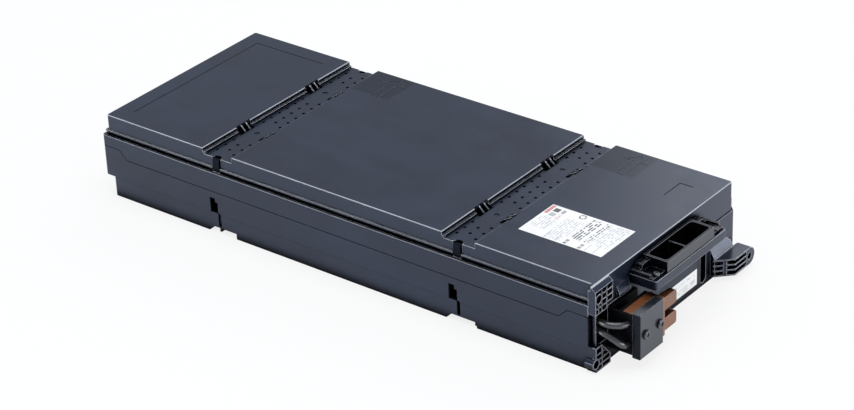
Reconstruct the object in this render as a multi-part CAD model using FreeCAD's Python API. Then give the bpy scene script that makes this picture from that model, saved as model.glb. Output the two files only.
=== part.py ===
import FreeCAD, Part
import math
import os

from FreeCAD import Vector

# Battery cartridge for a rack power supply: a moulded tray with a clip-on lid, eight sealed blocks
# in a 2-4-2 row inside, a screwed-on pull handle and a two-pole connector clamped to the front wall.
# Millimetres. +X is the front (handle end), +Y the side of the retaining arm, +Z up.
# The origin is the middle of the flat underside.

# ---- Sealed blocks and the room around them: these set the overall size ---------------------------
CELL_LENGTH = 101.0
CELL_WIDTH = 90.0
CELL_HEIGHT = 70.0
PAD_THICK = 9.0
REAR_ROOM = 22.0
MIDDLE_ROOM = 43.0
FRONT_ROOM = 25.0
CHANNEL_LENGTH = 36.0
CELL_NEAR_LANE = 31.0
CELL_FAR_LANE = 12.0
WALL = 2.5
FIT = 0.3
THREAD_FIT = 0.05

# ---- Lid ---------------------------------------------------------------------------------------
CHANNEL_DEPTH = 5.8
LEDGE_DROP = 4.0
LEDGE_WIDTH = 2.0
SEAM_DROP = 29.0
LIP_DROP = 15.5
LIP_THICK = 1.7
LIP_REACH = 1.5
LID_CORNER_RADIUS = 2.5
LID_EDGE_RADIUS = 1.0

VENT_PITCH = 11.6
VENT_RADIUS = 1.5
VENT_ROWS = (6.1, 16.5, 26.8)
VENT_OUTER_SHIFT = 2.5
DIMPLE_RADIUS = 2.6
DIMPLE_DEPTH = 0.6

LOUVRE_OFFSET = 50.5
LOUVRE_WIDTH = 19.6
LOUVRE_RIB = 1.2
LOUVRE_SET_BACK = 1.8
LOUVRE_REACH_REAR = 6.0
LOUVRE_REACH_FRONT = 9.4

FRAME_MARGIN = 18.5
FRAME_LINE = 0.8
FRAME_DEPTH = 0.35
CORNER_MARK_X = 37.4
CORNER_MARK_Y = 28.6
CORNER_MARK_LONG = 26.4
CORNER_MARK_SHORT = 14.0

# Snap joint between tray and lid, one at each end of each channel
SNAP_FROM_CHANNEL = 17.3
SNAP_RECESS_RADIUS = 5.0
SNAP_RECESS_WALL = 2.0
FINGER_WIDTH = 8.0
FINGER_TOP_DROP = 6.5
FINGER_LENGTH = 16.0
FINGER_ROUND = 1.6
NOSE_REACH = 2.5
NOSE_THICK = 3.7

# Tab on the front wall of the lid
TAB_WIDTH = 17.0
TAB_FROM_CORNER = 33.5
TAB_TOP_DROP = 18.0
TAB_HEIGHT = 10.0
TAB_REACH = 3.0

# ---- Tray --------------------------------------------------------------------------------------
SIDE_OVERHANG = 5.0
REAR_OVERHANG = 3.5
FRONT_OVERHANG = 1.0
RIM_DROP = 20.0
FRONT_CHAMFER = 4.7
REAR_CORNER_RADIUS = 3.0
STEP_HEIGHT = 21.2
TUB_SIDE_INSET = 0.8
TUB_REAR_INSET = 9.2
UNDER_DEPTH = 5.7
UNDER_START = 5.0
UNDER_END = 38.8
UNDER_CHAMFER = 6.0
LINE_DEPTH = 0.4
LINE_WIDTH = 0.8
LINE_HIGH_DROP = 31.5
LINE_LOW_DROP = 40.3
LINE_HIGH_LENGTH = 22.0
LINE_SLOPE_LENGTH = 9.5

RIB_THICK = 2.0
RIB_DEPTH = 7.5
RIB_COUNT = 9
RIB_FIRST = 12.0
RIB_LAST = 60.0
STOP_RIB_HEIGHT = 10.0

# Guide window and slit in each side wall under a channel
WINDOW_START = 9.3
WINDOW_WIDTH = 9.2
WINDOW_STEP = 3.0
WINDOW_TOP = 37.0
SLIT_WIDTH = 3.4
SLIT_BOTTOM = 7.2

# Cable opening at the near front corner
OPENING_BOTTOM = 23.0
OPENING_WIDTH = 17.0
POST_WIDTH = 2.0
POST_INSET = 3.0

# Vertical slot in the front wall
SLOT_INSET = 54.2
SLOT_WIDTH = 9.0
SLOT_BOTTOM = 3.4
SLOT_TOP = 39.0

# ---- Cored corner blocks at the near front corner -----------------------------------------------
BLOCK_FRONT = 4.5
BLOCK_RIB = 1.1
BLOCK_CORE_DEPTH = 5.5
UPPER_BLOCK_DROP = 4.3
UPPER_BLOCK_WIDTH = 26.0
UPPER_BLOCK_LOW_WIDTH = 17.0
UPPER_ROW = 5.8
UPPER_BOSS_COLUMN = 9.5
BOSS_HOLE_RADIUS = 3.9
BOSS_WALL = 1.2
UPPER_BOSS_DROP = 13.4
UPPER_BOSS_INSET = 5.4
LOWER_BLOCK_WIDTH = 22.0
LOWER_BLOCK_TOP = 24.0
LOWER_BLOCK_FLAT = 9.5
LOWER_BLOCK_SIDE_TOP = 9.5
LOWER_ROW = 5.6
LOWER_BOSS_INSET = 0.6
LOWER_BOSS_HEIGHT = 8.0

# ---- Retaining arm on the far side of the front wall ----------------------------------------------
ARM_TOP = 22.0
ARM_HEIGHT = 17.0
ARM_REACH = 19.0
ARM_DEPTH = 14.6
ARM_BASE_START_INSET = 42.5
ARM_BASE_END_INSET = 16.0
ARM_BASE_DEPTH = 5.0
ARM_BASE_TOP = 31.5
ARM_BEND_INSET = 30.0
ARM_RIB = 1.3
ARM_CORE_DEPTH = 9.0
ARM_HOLE_RADIUS = 3.3
ARM_HOLE_WALL = 1.8
ARM_HOLE_INSET = 6.2

# ---- Handle shelf and handle ----------------------------------------------------------------------
SHELF_HALF_WIDTH = 55.5
SHELF_REACH = 26.0
SHELF_TOP_DROP = 15.3
SHELF_STRIP_HEIGHT = 9.0
SHELF_THICK = 2.6
SHELF_WALL = 2.5
CUP_HALF_WIDTH = 37.0
CUP_TOP_DROP = 4.5
CUP_DEPTH = 22.0
CUP_WALL = 2.4
CUP_FRONT_SET_BACK = 0.7
CUP_RIB = 1.6
CUP_RIB_DROP = 3.5
CUP_CORNER_RADIUS = 4.0
WING_HALF_WIDTH = 49.2
WING_TOP_DROP = 7.0
WING_DEPTH = 7.0
EAR_TOP_DROP = 10.8
EAR_RIM_LENGTH = 19.0
EAR_RIM = 2.0
HANDLE_ROUND = 3.2
FLANGE_THICK = 1.8
HANDLE_SCREW_Y = 47.0
HANDLE_SCREW_FROM_EDGE = 5.5
HANDLE_SCREW_RADIUS = 1.6
HANDLE_HEAD_RADIUS = 3.3
HANDLE_HEAD_HEIGHT = 2.3
HANDLE_SCREW_LENGTH = 10.0
HANDLE_BOSS_RADIUS = 4.2
HANDLE_BOSS_DEPTH = 8.0

# ---- Connector, its cover and bracket --------------------------------------------------------------
CONNECTOR_LENGTH = 60.3
CONNECTOR_HEIGHT = 39.0
CONNECTOR_THICK = 18.0
CONNECTOR_INSET = 26.0
CONNECTOR_DROP = 22.0
CONNECTOR_STAND_OFF = 12.5
CONNECTOR_BODY = 39.0
PRONG_THICK = 6.6
PRONG_SET_BACK = 2.0
PRONG_OUTER = 16.6
PRONG_INNER = 4.0
PRONG_RADIUS = 2.5
POLE_SPACING = 21.0
WIRE_DEPTH = 8.0
BARREL_START = 10.0
BARREL_END = 22.0
CONTACT_WIDTH = 9.0
CONTACT_THICK = 2.2
CONTACT_SET_BACK = 6.0
CLAMP_SCREW_SPACING = 21.3
CLAMP_SCREW_FIRST = 5.8
CLAMP_SCREW_RADIUS = 2.0
CLAMP_HEAD_RADIUS = 4.2
CLAMP_HEAD_HEIGHT = 2.6
COVER_THICK = 2.3
COVER_WIDTH = 35.4
COVER_SKIRT = 8.0
BRACKET_PLATE = 2.5
GUIDE_FIT = 0.9
BRACKET_PILLAR_RADIUS = 4.5

# ---- Terminals, wiring, pads and labels ---------------------------------------------------------------
CELL_GAP = 2.0
CELL_CHAMFER = 1.5
CELL_LID_SEAM = 12.0
CELL_LID_LINE = 0.6
TAB_BLADE_LENGTH = 6.0
TAB_BLADE_WIDTH = 6.3
TAB_BLADE_THICK = 0.8
TAB_FROM_MIDDLE = 34.0
TAB_FROM_TOP = 14.0
LINK_RADIUS = 2.4
LINK_BEND = 9.0
STRAP_THICK = 1.6
STRAP_WIDTH = 8.0
STRAP_FOOT = 4.0
FUSE_RADIUS = 5.0
FUSE_LENGTH = 30.0
LEAD_RADIUS = 3.0
PAD_INSET = 9.0
PAD_WIDTH = 50.0
LABEL_THICK = 0.2
TOP_LABEL_LENGTH = 87.5
TOP_LABEL_WIDTH = 53.0
TOP_LABEL_INSET = 65.0
TOP_LABEL_Y = -41.7
FRONT_LABEL_WIDTH = 40.0
FRONT_LABEL_HEIGHT = 16.0
FRONT_LABEL_Y = 29.4
FRONT_LABEL_Z = 14.5

# ---- Places that follow from the sizes ------------------------------------------------------------------
REAR_SECTION = CELL_LENGTH + REAR_ROOM
MIDDLE_SECTION = 2 * CELL_LENGTH + MIDDLE_ROOM
FRONT_SECTION = CELL_LENGTH + FRONT_ROOM
LID_LENGTH = REAR_SECTION + MIDDLE_SECTION + FRONT_SECTION + 2 * CHANNEL_LENGTH
TRAY_WIDTH = 2 * CELL_WIDTH + CELL_NEAR_LANE + 2 * WALL + CELL_FAR_LANE
LID_WIDTH = TRAY_WIDTH - 2 * SIDE_OVERHANG
HEIGHT = CELL_HEIGHT + PAD_THICK + 2 * WALL
REAR_X = -LID_LENGTH / 2
FRONT_X = LID_LENGTH / 2
HALF_LID = LID_WIDTH / 2
CHANNEL_1 = REAR_X + REAR_SECTION
CHANNEL_2 = FRONT_X - FRONT_SECTION - CHANNEL_LENGTH
CHANNELS = (CHANNEL_1, CHANNEL_2)
FLOOR_Z = HEIGHT - CHANNEL_DEPTH
SEAM_Z = HEIGHT - SEAM_DROP
RIM_Z = HEIGHT - RIM_DROP
LIP_TOP = HEIGHT - LIP_DROP
SNAP_SILL = LIP_TOP - LIP_THICK

HALF_TRAY = HALF_LID + SIDE_OVERHANG
TRAY_REAR = REAR_X - REAR_OVERHANG
TRAY_FRONT = FRONT_X + FRONT_OVERHANG
SIDE_END = TRAY_FRONT - FRONT_CHAMFER
HALF_TUB = HALF_TRAY - TUB_SIDE_INSET
TUB_REAR = TRAY_REAR + TUB_REAR_INSET
BLOCK_X = FRONT_X + BLOCK_FRONT
NEAR_Y = -HALF_TRAY

SLOT_CENTRE = HALF_TRAY - SLOT_INSET
ARM_HOLE_Y = HALF_TRAY - ARM_HOLE_INSET
ARM_BEND_Y = HALF_TRAY - ARM_BEND_INSET
ARM_BASE_START = HALF_TRAY - ARM_BASE_START_INSET
ARM_BASE_END = HALF_TRAY - ARM_BASE_END_INSET

SHELF_TOP = HEIGHT - SHELF_TOP_DROP
SHELF_FRONT = TRAY_FRONT + SHELF_REACH
CUP_TOP = HEIGHT - CUP_TOP_DROP
CUP_BOTTOM = CUP_TOP - CUP_DEPTH

CONNECTOR_Y = NEAR_Y + CONNECTOR_INSET
CONNECTOR_Z = SEAM_Z - CONNECTOR_DROP
CONNECTOR_BACK = TRAY_FRONT + CONNECTOR_STAND_OFF
CONNECTOR_FACE = CONNECTOR_BACK + CONNECTOR_THICK
CONNECTOR_BODY_END = CONNECTOR_Y + CONNECTOR_BODY
COVER_FACE = CONNECTOR_FACE + COVER_THICK
CLAMP_SCREWS_Y = tuple(CONNECTOR_Y + CLAMP_SCREW_FIRST + CLAMP_SCREW_SPACING * n for n in (0, 1))
POLES_Z = (CONNECTOR_Z + POLE_SPACING / 2, CONNECTOR_Z - POLE_SPACING / 2)
WIRE_X = CONNECTOR_BACK + WIRE_DEPTH
CONTACT_END = CONNECTOR_Y + CONNECTOR_LENGTH - CONTACT_SET_BACK

CELL_NEAR_Y = NEAR_Y + WALL + CELL_NEAR_LANE + WALL
CELL_MIDDLES_Y = (CELL_NEAR_Y + CELL_WIDTH / 2, CELL_NEAR_Y + CELL_WIDTH * 1.5)
CELL_TOP = WALL + CELL_HEIGHT
TAB_Z = CELL_TOP - TAB_FROM_TOP
MIDDLE_TUB = (CHANNEL_1 + UNDER_END + WALL, CHANNEL_2 + UNDER_START - WALL)
# Each row of blocks: its name, the face that carries the tabs, and the way those tabs point
CELL_ROWS = (
    ("rear", TUB_REAR + WALL + CELL_GAP + CELL_LENGTH, 1),
    ("mid_rear", MIDDLE_TUB[0] + CELL_GAP, -1),
    ("mid_front", MIDDLE_TUB[1] - CELL_GAP, 1),
    ("front", TRAY_FRONT - WALL - CELL_GAP - CELL_LENGTH, -1),
)
TAB_FACE = {name: face for name, face, way in CELL_ROWS}
TAB_WAY = {name: way for name, face, way in CELL_ROWS}


# ---- Small builders ---------------------------------------------------------------------------------------
def box(x0, x1, y0, y1, z0, z1):
    return Part.makeBox(x1 - x0, y1 - y0, z1 - z0, Vector(x0, y0, z0))


def rod(start, end, radius):
    start, end = Vector(*start), Vector(*end)
    return Part.makeCylinder(radius, (end - start).Length, start, end - start)


def plate(points):
    corners = [Vector(*point) for point in points]
    return Part.Face(Part.makePolygon(corners + corners[:1]))


def prism_x(outline, x0, x1):
    return plate([(x0, y, z) for y, z in outline]).extrude(Vector(x1 - x0, 0, 0))


def prism_y(outline, y0, y1):
    return plate([(x, y0, z) for x, z in outline]).extrude(Vector(0, y1 - y0, 0))


def prism_z(outline, z0, z1):
    return plate([(x, y, z0) for x, y in outline]).extrude(Vector(0, 0, z1 - z0))


def both_sides(shape):
    return [shape, shape.mirror(Vector(0, 0, 0), Vector(0, 1, 0))]


def round_edges(shape, radius, chosen):
    return shape.makeFillet(radius, [edge for edge in shape.Edges if chosen(edge.BoundBox)])


def upright(bounds):
    return bounds.ZLength > 1 and bounds.XLength < 1e-3 and bounds.YLength < 1e-3


def tube(points, radius, arc_share=0.45):
    """Round lead along straight runs joined by tangent arcs; returns the solid and its arc radii."""
    points = [Vector(*point) for point in points]
    edges, radii, start = [], [], points[0]
    for before, corner, after in zip(points, points[1:], points[2:]):
        run_in, run_out = corner - before, after - corner
        turn = run_in.getAngle(run_out)
        cut = arc_share * min(run_in.Length, run_out.Length)
        radii.append(cut / math.tan(turn / 2))
        a = corner - run_in.normalize() * cut
        b = corner + run_out.normalize() * cut
        bisector = (run_out - run_in).normalize()
        middle = corner + bisector * radii[-1] * (1 / math.cos(turn / 2) - 1)
        edges += [Part.LineSegment(start, a).toShape(), Part.Arc(a, middle, b).toShape()]
        start = b
    edges.append(Part.LineSegment(start, points[-1]).toShape())
    path = Part.Wire(edges)
    direction = points[1] - points[0]
    section = Part.Wire(Part.Circle(points[0], direction, radius).toShape())
    return path.makePipeShell([section], True, True), radii


# ---- Lid -----------------------------------------------------------------------------------------------------
def lid_outline(inset, bottom):
    """Long section of the lid: three raised panels and two cross channels, with a ledge in each."""
    top = HEIGHT - inset
    outline = [(REAR_X + inset, bottom), (REAR_X + inset, top)]
    for start in CHANNELS:
        ledge_x = start + LEDGE_WIDTH - inset
        ledge_z = HEIGHT - LEDGE_DROP - inset
        end = start + CHANNEL_LENGTH + inset
        outline += [(start - inset, top), (start - inset, ledge_z), (ledge_x, ledge_z)]
        outline += [(ledge_x, FLOOR_Z - inset), (end, FLOOR_Z - inset), (end, top)]
    return outline + [(FRONT_X - inset, top), (FRONT_X - inset, bottom)]


def vent_places(start):
    """Three rows of vents; the middle row is staggered and each row is broken at the louvres."""
    for row, offset in enumerate(VENT_ROWS):
        if row == 1:
            steps = [(n, 0) for n in (0, 1, 2)] + [(n + 0.5, 1) for n in (6, 7)]
        else:
            steps = [(n + 0.5, 0) for n in (0, 1, 2)] + [(n, 1) for n in (6, 7, 8)]
        for step, outer in steps:
            y = step * VENT_PITCH + outer * VENT_OUTER_SHIFT
            for side in ((1,) if y == 0 else (1, -1)):
                yield start + offset, side * y


def louvre(start, middle, facing):
    """Opening at the foot of a channel wall, bridged by two sloping ribs; facing is +1 for the rear wall."""
    wall = start if facing > 0 else start + CHANNEL_LENGTH
    reach = LOUVRE_REACH_REAR if facing > 0 else LOUVRE_REACH_FRONT
    edges = middle - LOUVRE_WIDTH / 2, middle + LOUVRE_WIDTH / 2

    def span(back, front):
        return sorted((wall - facing * back, wall + facing * front))

    top_x = span(LOUVRE_SET_BACK, reach)
    low_x = span(WALL + FIT, reach)
    cuts = [
        box(*top_x, *edges, HEIGHT - WALL, HEIGHT + 1),
        box(*low_x, *edges, FLOOR_Z - WALL - FIT, HEIGHT - WALL),
    ]
    gap = (LOUVRE_WIDTH - 2 * LOUVRE_RIB) / 3
    gusset = [(wall - facing * WALL, HEIGHT), (wall, HEIGHT), (wall + facing * reach, FLOOR_Z)]
    gusset += [(wall + facing * reach, FLOOR_Z - WALL), (wall - facing * WALL, FLOOR_Z - WALL)]
    ribs = []
    for n in (1, 2):
        y = edges[0] + n * gap + (n - 1) * LOUVRE_RIB
        ribs.append(prism_y(gusset, y, y + LOUVRE_RIB))
    return cuts, ribs


def snap_recess(start, side):
    """Half-round recess in the edge of the lid; the tray's snap finger hooks over its foot."""
    centre = (start + SNAP_FROM_CHANNEL, side * HALF_LID)
    outer = SNAP_RECESS_RADIUS + SNAP_RECESS_WALL
    inside = box(centre[0] - outer, centre[0] + outer, 0, HALF_LID, 0, HEIGHT)
    if side < 0:
        inside = both_sides(inside)[1]
    lining = rod((*centre, SNAP_SILL), (*centre, FLOOR_Z), outer).common(inside)
    recess = rod((*centre, SNAP_SILL), (*centre, HEIGHT + 1), SNAP_RECESS_RADIUS)
    return lining, recess


def cored_cells(columns, top, bottom, front, depth=BLOCK_CORE_DEPTH):
    """Blind cells between thin ribs, open to the front."""
    half = BLOCK_RIB / 2
    return [
        box(front - depth, front + 1, y0 + half, y1 - half, bottom + half, top - half)
        for y0, y1 in zip(columns, columns[1:])
    ]


def upper_block():
    """Cored block on the lid's near front corner, with a sloping top and a boss for a locating pin."""
    top = HEIGHT - UPPER_BLOCK_DROP
    inner, low_inner = NEAR_Y + UPPER_BLOCK_WIDTH, NEAR_Y + UPPER_BLOCK_LOW_WIDTH
    rows = [top - UPPER_ROW * n for n in range(5)]
    outline = [(NEAR_Y, rows[4]), (low_inner, rows[4]), (low_inner, rows[3]), (inner, rows[3])]
    outline += [(inner, HEIGHT), (NEAR_Y, HEIGHT)]
    block = prism_x(outline, SIDE_END + FIT, BLOCK_X)
    slope = [(FRONT_X - 1, HEIGHT), (BLOCK_X + 1, top - 1), (BLOCK_X + 1, HEIGHT + 1), (FRONT_X - 1, HEIGHT + 1)]
    block = block.cut(prism_y(slope, NEAR_Y - 1, inner + 1))
    block = block.cut(box(SIDE_END, REAR_X + LID_LENGTH - 1, NEAR_Y - 1, -HALF_LID, top, HEIGHT + 1))
    boss_column = NEAR_Y + UPPER_BOSS_COLUMN
    wide = (NEAR_Y, boss_column, low_inner, inner)
    split = (NEAR_Y, NEAR_Y + UPPER_BOSS_COLUMN / 2, boss_column, low_inner)
    cells = cored_cells(wide, rows[0], rows[1], BLOCK_X) + cored_cells(wide, rows[1], rows[2], BLOCK_X)
    cells += cored_cells(split + (inner,), rows[2], rows[3], BLOCK_X)
    cells += cored_cells(split, rows[3], rows[4], BLOCK_X)
    boss_at = (NEAR_Y + UPPER_BOSS_INSET, HEIGHT - UPPER_BOSS_DROP)
    boss_start, boss_end = (BLOCK_X - BLOCK_CORE_DEPTH, *boss_at), (BLOCK_X, *boss_at)
    boss = rod(boss_start, boss_end, BOSS_HOLE_RADIUS + BOSS_WALL)
    bore = rod((BLOCK_X - BLOCK_CORE_DEPTH, *boss_at), (BLOCK_X + 1, *boss_at), BOSS_HOLE_RADIUS)
    return block.cut(cells).fuse(boss), bore


def make_lid():
    outer = prism_y(lid_outline(0, SEAM_Z), -HALF_LID, HALF_LID)
    outer = round_edges(outer, LID_CORNER_RADIUS, lambda b: upright(b) and b.ZMin < SEAM_Z + 1)
    outer = round_edges(outer, LID_EDGE_RADIUS, lambda b: b.ZMin > HEIGHT - 1e-3)
    inner = prism_y(lid_outline(WALL, SEAM_Z - 1), WALL - HALF_LID, HALF_LID - WALL)

    lip = box(REAR_X - LIP_REACH, SIDE_END, -HALF_LID - LIP_REACH, HALF_LID + LIP_REACH, LIP_TOP - LIP_THICK, LIP_TOP)
    lip = lip.cut(box(REAR_X + WALL, SIDE_END + 1, WALL - HALF_LID, HALF_LID - WALL, 0, HEIGHT))
    tab_y = -HALF_LID + TAB_FROM_CORNER
    tab_top, tab_foot = HEIGHT - TAB_TOP_DROP, HEIGHT - TAB_TOP_DROP - TAB_HEIGHT
    tab_face = FRONT_X + TAB_REACH
    tab = prism_y([(FRONT_X, tab_top), (tab_face, tab_foot + 2), (tab_face, tab_foot), (FRONT_X, tab_foot)],
                  tab_y, tab_y + TAB_WIDTH)

    added, cuts, ribs = [lip, tab], [], []
    for start in CHANNELS:
        for side in (1, -1):
            lining, recess = snap_recess(start, side)
            added.append(lining)
            cuts.append(recess)
            for facing in (1, -1):
                openings, gussets = louvre(start, side * LOUVRE_OFFSET, facing)
                cuts += openings
                ribs += gussets
            dimple = (start + VENT_ROWS[1], side * LOUVRE_OFFSET)
            cuts.append(rod((*dimple, FLOOR_Z - DIMPLE_DEPTH), (*dimple, FLOOR_Z + 1), DIMPLE_RADIUS))
        for place in vent_places(start):
            cuts.append(rod((*place, FLOOR_Z - WALL - 1), (*place, FLOOR_Z + 1), VENT_RADIUS))

    corner = (REAR_X + FRAME_MARGIN, HALF_LID - FRAME_MARGIN)
    frame = box(corner[0], CHANNEL_1 - FRAME_MARGIN, FRAME_MARGIN - HALF_LID, corner[1], HEIGHT - FRAME_DEPTH, HEIGHT + 1)
    frame = frame.cut(box(corner[0] + FRAME_LINE, FRONT_X, -HALF_LID, corner[1] - FRAME_LINE, 0, HEIGHT + 1))
    mark = (FRONT_X - CORNER_MARK_X, HALF_LID - CORNER_MARK_Y)
    corner_mark = box(mark[0], mark[0] + CORNER_MARK_SHORT, mark[1] - CORNER_MARK_LONG, mark[1],
                      HEIGHT - FRAME_DEPTH, HEIGHT + 1)
    corner_mark = corner_mark.cut(box(mark[0] + FRAME_LINE, FRONT_X, -HALF_LID, mark[1] - FRAME_LINE, 0, HEIGHT + 1))
    root = SHELF_HALF_WIDTH + FIT
    shelf_gap = box(FRONT_X - WALL - 1, FRONT_X + TAB_REACH + 1, -root, root, SEAM_Z - 1, SHELF_TOP + FIT)
    block, bore = upper_block()
    body = outer.cut(inner).fuse(added).cut(cuts + [frame, corner_mark, shelf_gap])
    return body.fuse(ribs + [block]).cut(bore).removeSplitter()


# ---- Tray -----------------------------------------------------------------------------------------------------
def tray_outline():
    """Plan of the tray, with the two front corners cut off."""
    chamfer_y = HALF_TRAY - FRONT_CHAMFER
    outline = [(TRAY_REAR, -HALF_TRAY), (SIDE_END, -HALF_TRAY), (TRAY_FRONT, -chamfer_y)]
    return outline + [(TRAY_FRONT, chamfer_y), (SIDE_END, HALF_TRAY), (TRAY_REAR, HALF_TRAY)]


def under_channel(start, thickness):
    """Cross channel under the tray, or its inner face when thickness is the wall."""
    first = start + UNDER_START - thickness
    last = start + UNDER_END + thickness
    rise = UNDER_DEPTH + thickness
    return [(first, thickness), (first + UNDER_CHAMFER, rise), (last, rise), (last, thickness)]


def tray_cavity():
    rear, tub_rear, front = TRAY_REAR + WALL, TUB_REAR + WALL, TRAY_FRONT - WALL
    step = STEP_HEIGHT + WALL
    outline = [(rear, HEIGHT), (rear, step), (tub_rear, step), (tub_rear, WALL)]
    for start in CHANNELS:
        outline += under_channel(start, WALL)
    outline += [(front, WALL), (front, HEIGHT)]
    lower = prism_y(outline, WALL - HALF_TUB, HALF_TUB - WALL)
    upper = box(rear, SIDE_END - WALL / 2, WALL - HALF_TRAY, HALF_TRAY - WALL, step, HEIGHT)
    return [lower, upper]


def side_window(start):
    """Stepped window and the slit below it, through one side wall."""
    left, right = start + WINDOW_START, start + WINDOW_START + WINDOW_WIDTH
    sill, shoulder = STEP_HEIGHT, WINDOW_TOP - WINDOW_STEP - 1
    outline = [(left, sill), (left, WINDOW_TOP), (right - WINDOW_STEP, WINDOW_TOP)]
    outline += [(right - WINDOW_STEP, shoulder), (right, shoulder), (right, sill)]
    inner = HALF_TUB - WALL - 1
    window = prism_y(outline, inner, HALF_TRAY + 1)
    slit = box(right - 1, right - 1 + SLIT_WIDTH, inner, HALF_TRAY + 1, SLIT_BOTTOM, sill + 1)
    return window.fuse(slit)


def wall_line():
    """Fine moulded line along the side wall, high at both ends and lower in between."""
    high, low = HEIGHT - LINE_HIGH_DROP, HEIGHT - LINE_LOW_DROP
    x0, x1 = TRAY_REAR - 1, SIDE_END + 1
    a, b = x0 + LINE_HIGH_LENGTH, x1 - LINE_HIGH_LENGTH
    lower = [(x0, high), (a, high), (a + LINE_SLOPE_LENGTH, low), (b - LINE_SLOPE_LENGTH, low), (b, high), (x1, high)]
    upper = [(x, z + LINE_WIDTH) for x, z in reversed(lower)]
    return prism_y(lower + upper, HALF_TRAY - LINE_DEPTH, HALF_TRAY + 1)


def side_ribs():
    """Ribs on the side walls; the lid's skirt stands on their tops."""
    inner = HALF_TUB - WALL
    first, last = TUB_REAR + WALL + RIB_FIRST, CHANNEL_2 + CHANNEL_LENGTH + RIB_LAST
    pitch = (last - first) / (RIB_COUNT - 1)
    ribs = []
    for n in range(RIB_COUNT):
        x = first + n * pitch
        rib = box(x, x + RIB_THICK, HALF_TRAY - WALL - RIB_DEPTH, HALF_TRAY - WALL / 2, STEP_HEIGHT, SEAM_Z)
        foot = box(x, x + RIB_THICK, HALF_TRAY - WALL - RIB_DEPTH, inner + WALL / 2, WALL / 2, STEP_HEIGHT)
        ribs += both_sides(rib) + both_sides(foot)
    return ribs


def cell_stops():
    """Low ribs on the tray floor that keep the blocks in their places."""
    far = CELL_NEAR_Y + 2 * CELL_WIDTH
    stops = []
    spans = [(TUB_REAR + WALL / 2, CHANNEL_1), (MIDDLE_TUB[0] - 1, MIDDLE_TUB[1] + 1)]
    spans.append((CHANNEL_2 + UNDER_END + WALL - 1, FRONT_X - WALL))
    for x0, x1 in spans:
        stops.append(box(x0, x1, CELL_NEAR_Y - FIT - RIB_THICK, CELL_NEAR_Y - FIT, WALL / 2, WALL + STOP_RIB_HEIGHT))
    rear_end = TAB_FACE["mid_rear"] + CELL_LENGTH + FIT
    front_end = TAB_FACE["mid_front"] - CELL_LENGTH - FIT
    for x0 in (rear_end, front_end - RIB_THICK):
        stops.append(box(x0, x0 + RIB_THICK, CELL_NEAR_Y, far, WALL / 2, WALL + STOP_RIB_HEIGHT))
    return stops


def snap_finger(start):
    """Snap finger that rises from the side wall of the tray and hooks over the lid's edge."""
    middle = start + SNAP_FROM_CHANNEL
    x0, x1 = middle - FINGER_WIDTH / 2, middle + FINGER_WIDTH / 2
    root, back = HALF_TRAY - WALL / 2, HALF_LID + FIT
    nose = back - NOSE_REACH
    outer, catch, top = nose + NOSE_THICK, SNAP_SILL + FIT, HEIGHT - FINGER_TOP_DROP
    outline = [(back, RIM_Z - FINGER_LENGTH + WALL), (back, catch), (nose, catch), (nose, top), (outer, top), (outer, RIM_Z)]
    outline += [(root, RIM_Z - FINGER_ROUND), (root, RIM_Z - FINGER_LENGTH)]
    finger = prism_x(outline, x0, x1)
    return round_edges(finger, FINGER_ROUND, lambda b: b.XLength > 1 and b.ZMin > top - 1e-3)


def lower_block():
    """Cored block on the tray's near front corner, with a round boss bulging from its outer edge."""
    inner = NEAR_Y + LOWER_BLOCK_WIDTH
    flat = NEAR_Y + LOWER_BLOCK_FLAT
    outline = [(NEAR_Y, 0), (inner, 0), (inner, LOWER_BLOCK_SIDE_TOP), (flat, LOWER_BLOCK_TOP), (NEAR_Y, LOWER_BLOCK_TOP)]
    block = prism_x(outline, SIDE_END - 1, BLOCK_X)
    radius = BOSS_HOLE_RADIUS + BOSS_WALL
    boss_at = (NEAR_Y + LOWER_BOSS_INSET, LOWER_BOSS_HEIGHT)
    boss = rod((SIDE_END - 1, *boss_at), (BLOCK_X, *boss_at), radius)
    half = BLOCK_RIB / 2
    inside = [(NEAR_Y + BLOCK_RIB, BLOCK_RIB), (inner - BLOCK_RIB, BLOCK_RIB)]
    inside += [(inner - BLOCK_RIB, LOWER_BLOCK_SIDE_TOP - half), (flat - half, LOWER_BLOCK_TOP - BLOCK_RIB)]
    inside.append((NEAR_Y + BLOCK_RIB, LOWER_BLOCK_TOP - BLOCK_RIB))
    back = BLOCK_X - BLOCK_CORE_DEPTH
    core = prism_x(inside, back, BLOCK_X + 1)
    ribs = [box(back - 1, BLOCK_X + 2, flat - half, flat + half, 0, HEIGHT)]
    for n in (1, 2, 3):
        ribs.append(box(back - 1, BLOCK_X + 2, NEAR_Y, inner, n * LOWER_ROW - half, n * LOWER_ROW + half))
    bore = rod((back, *boss_at), (BLOCK_X + 1, *boss_at), BOSS_HOLE_RADIUS)
    return block.cut(core.cut(ribs)).fuse(boss).cut(bore)


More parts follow.
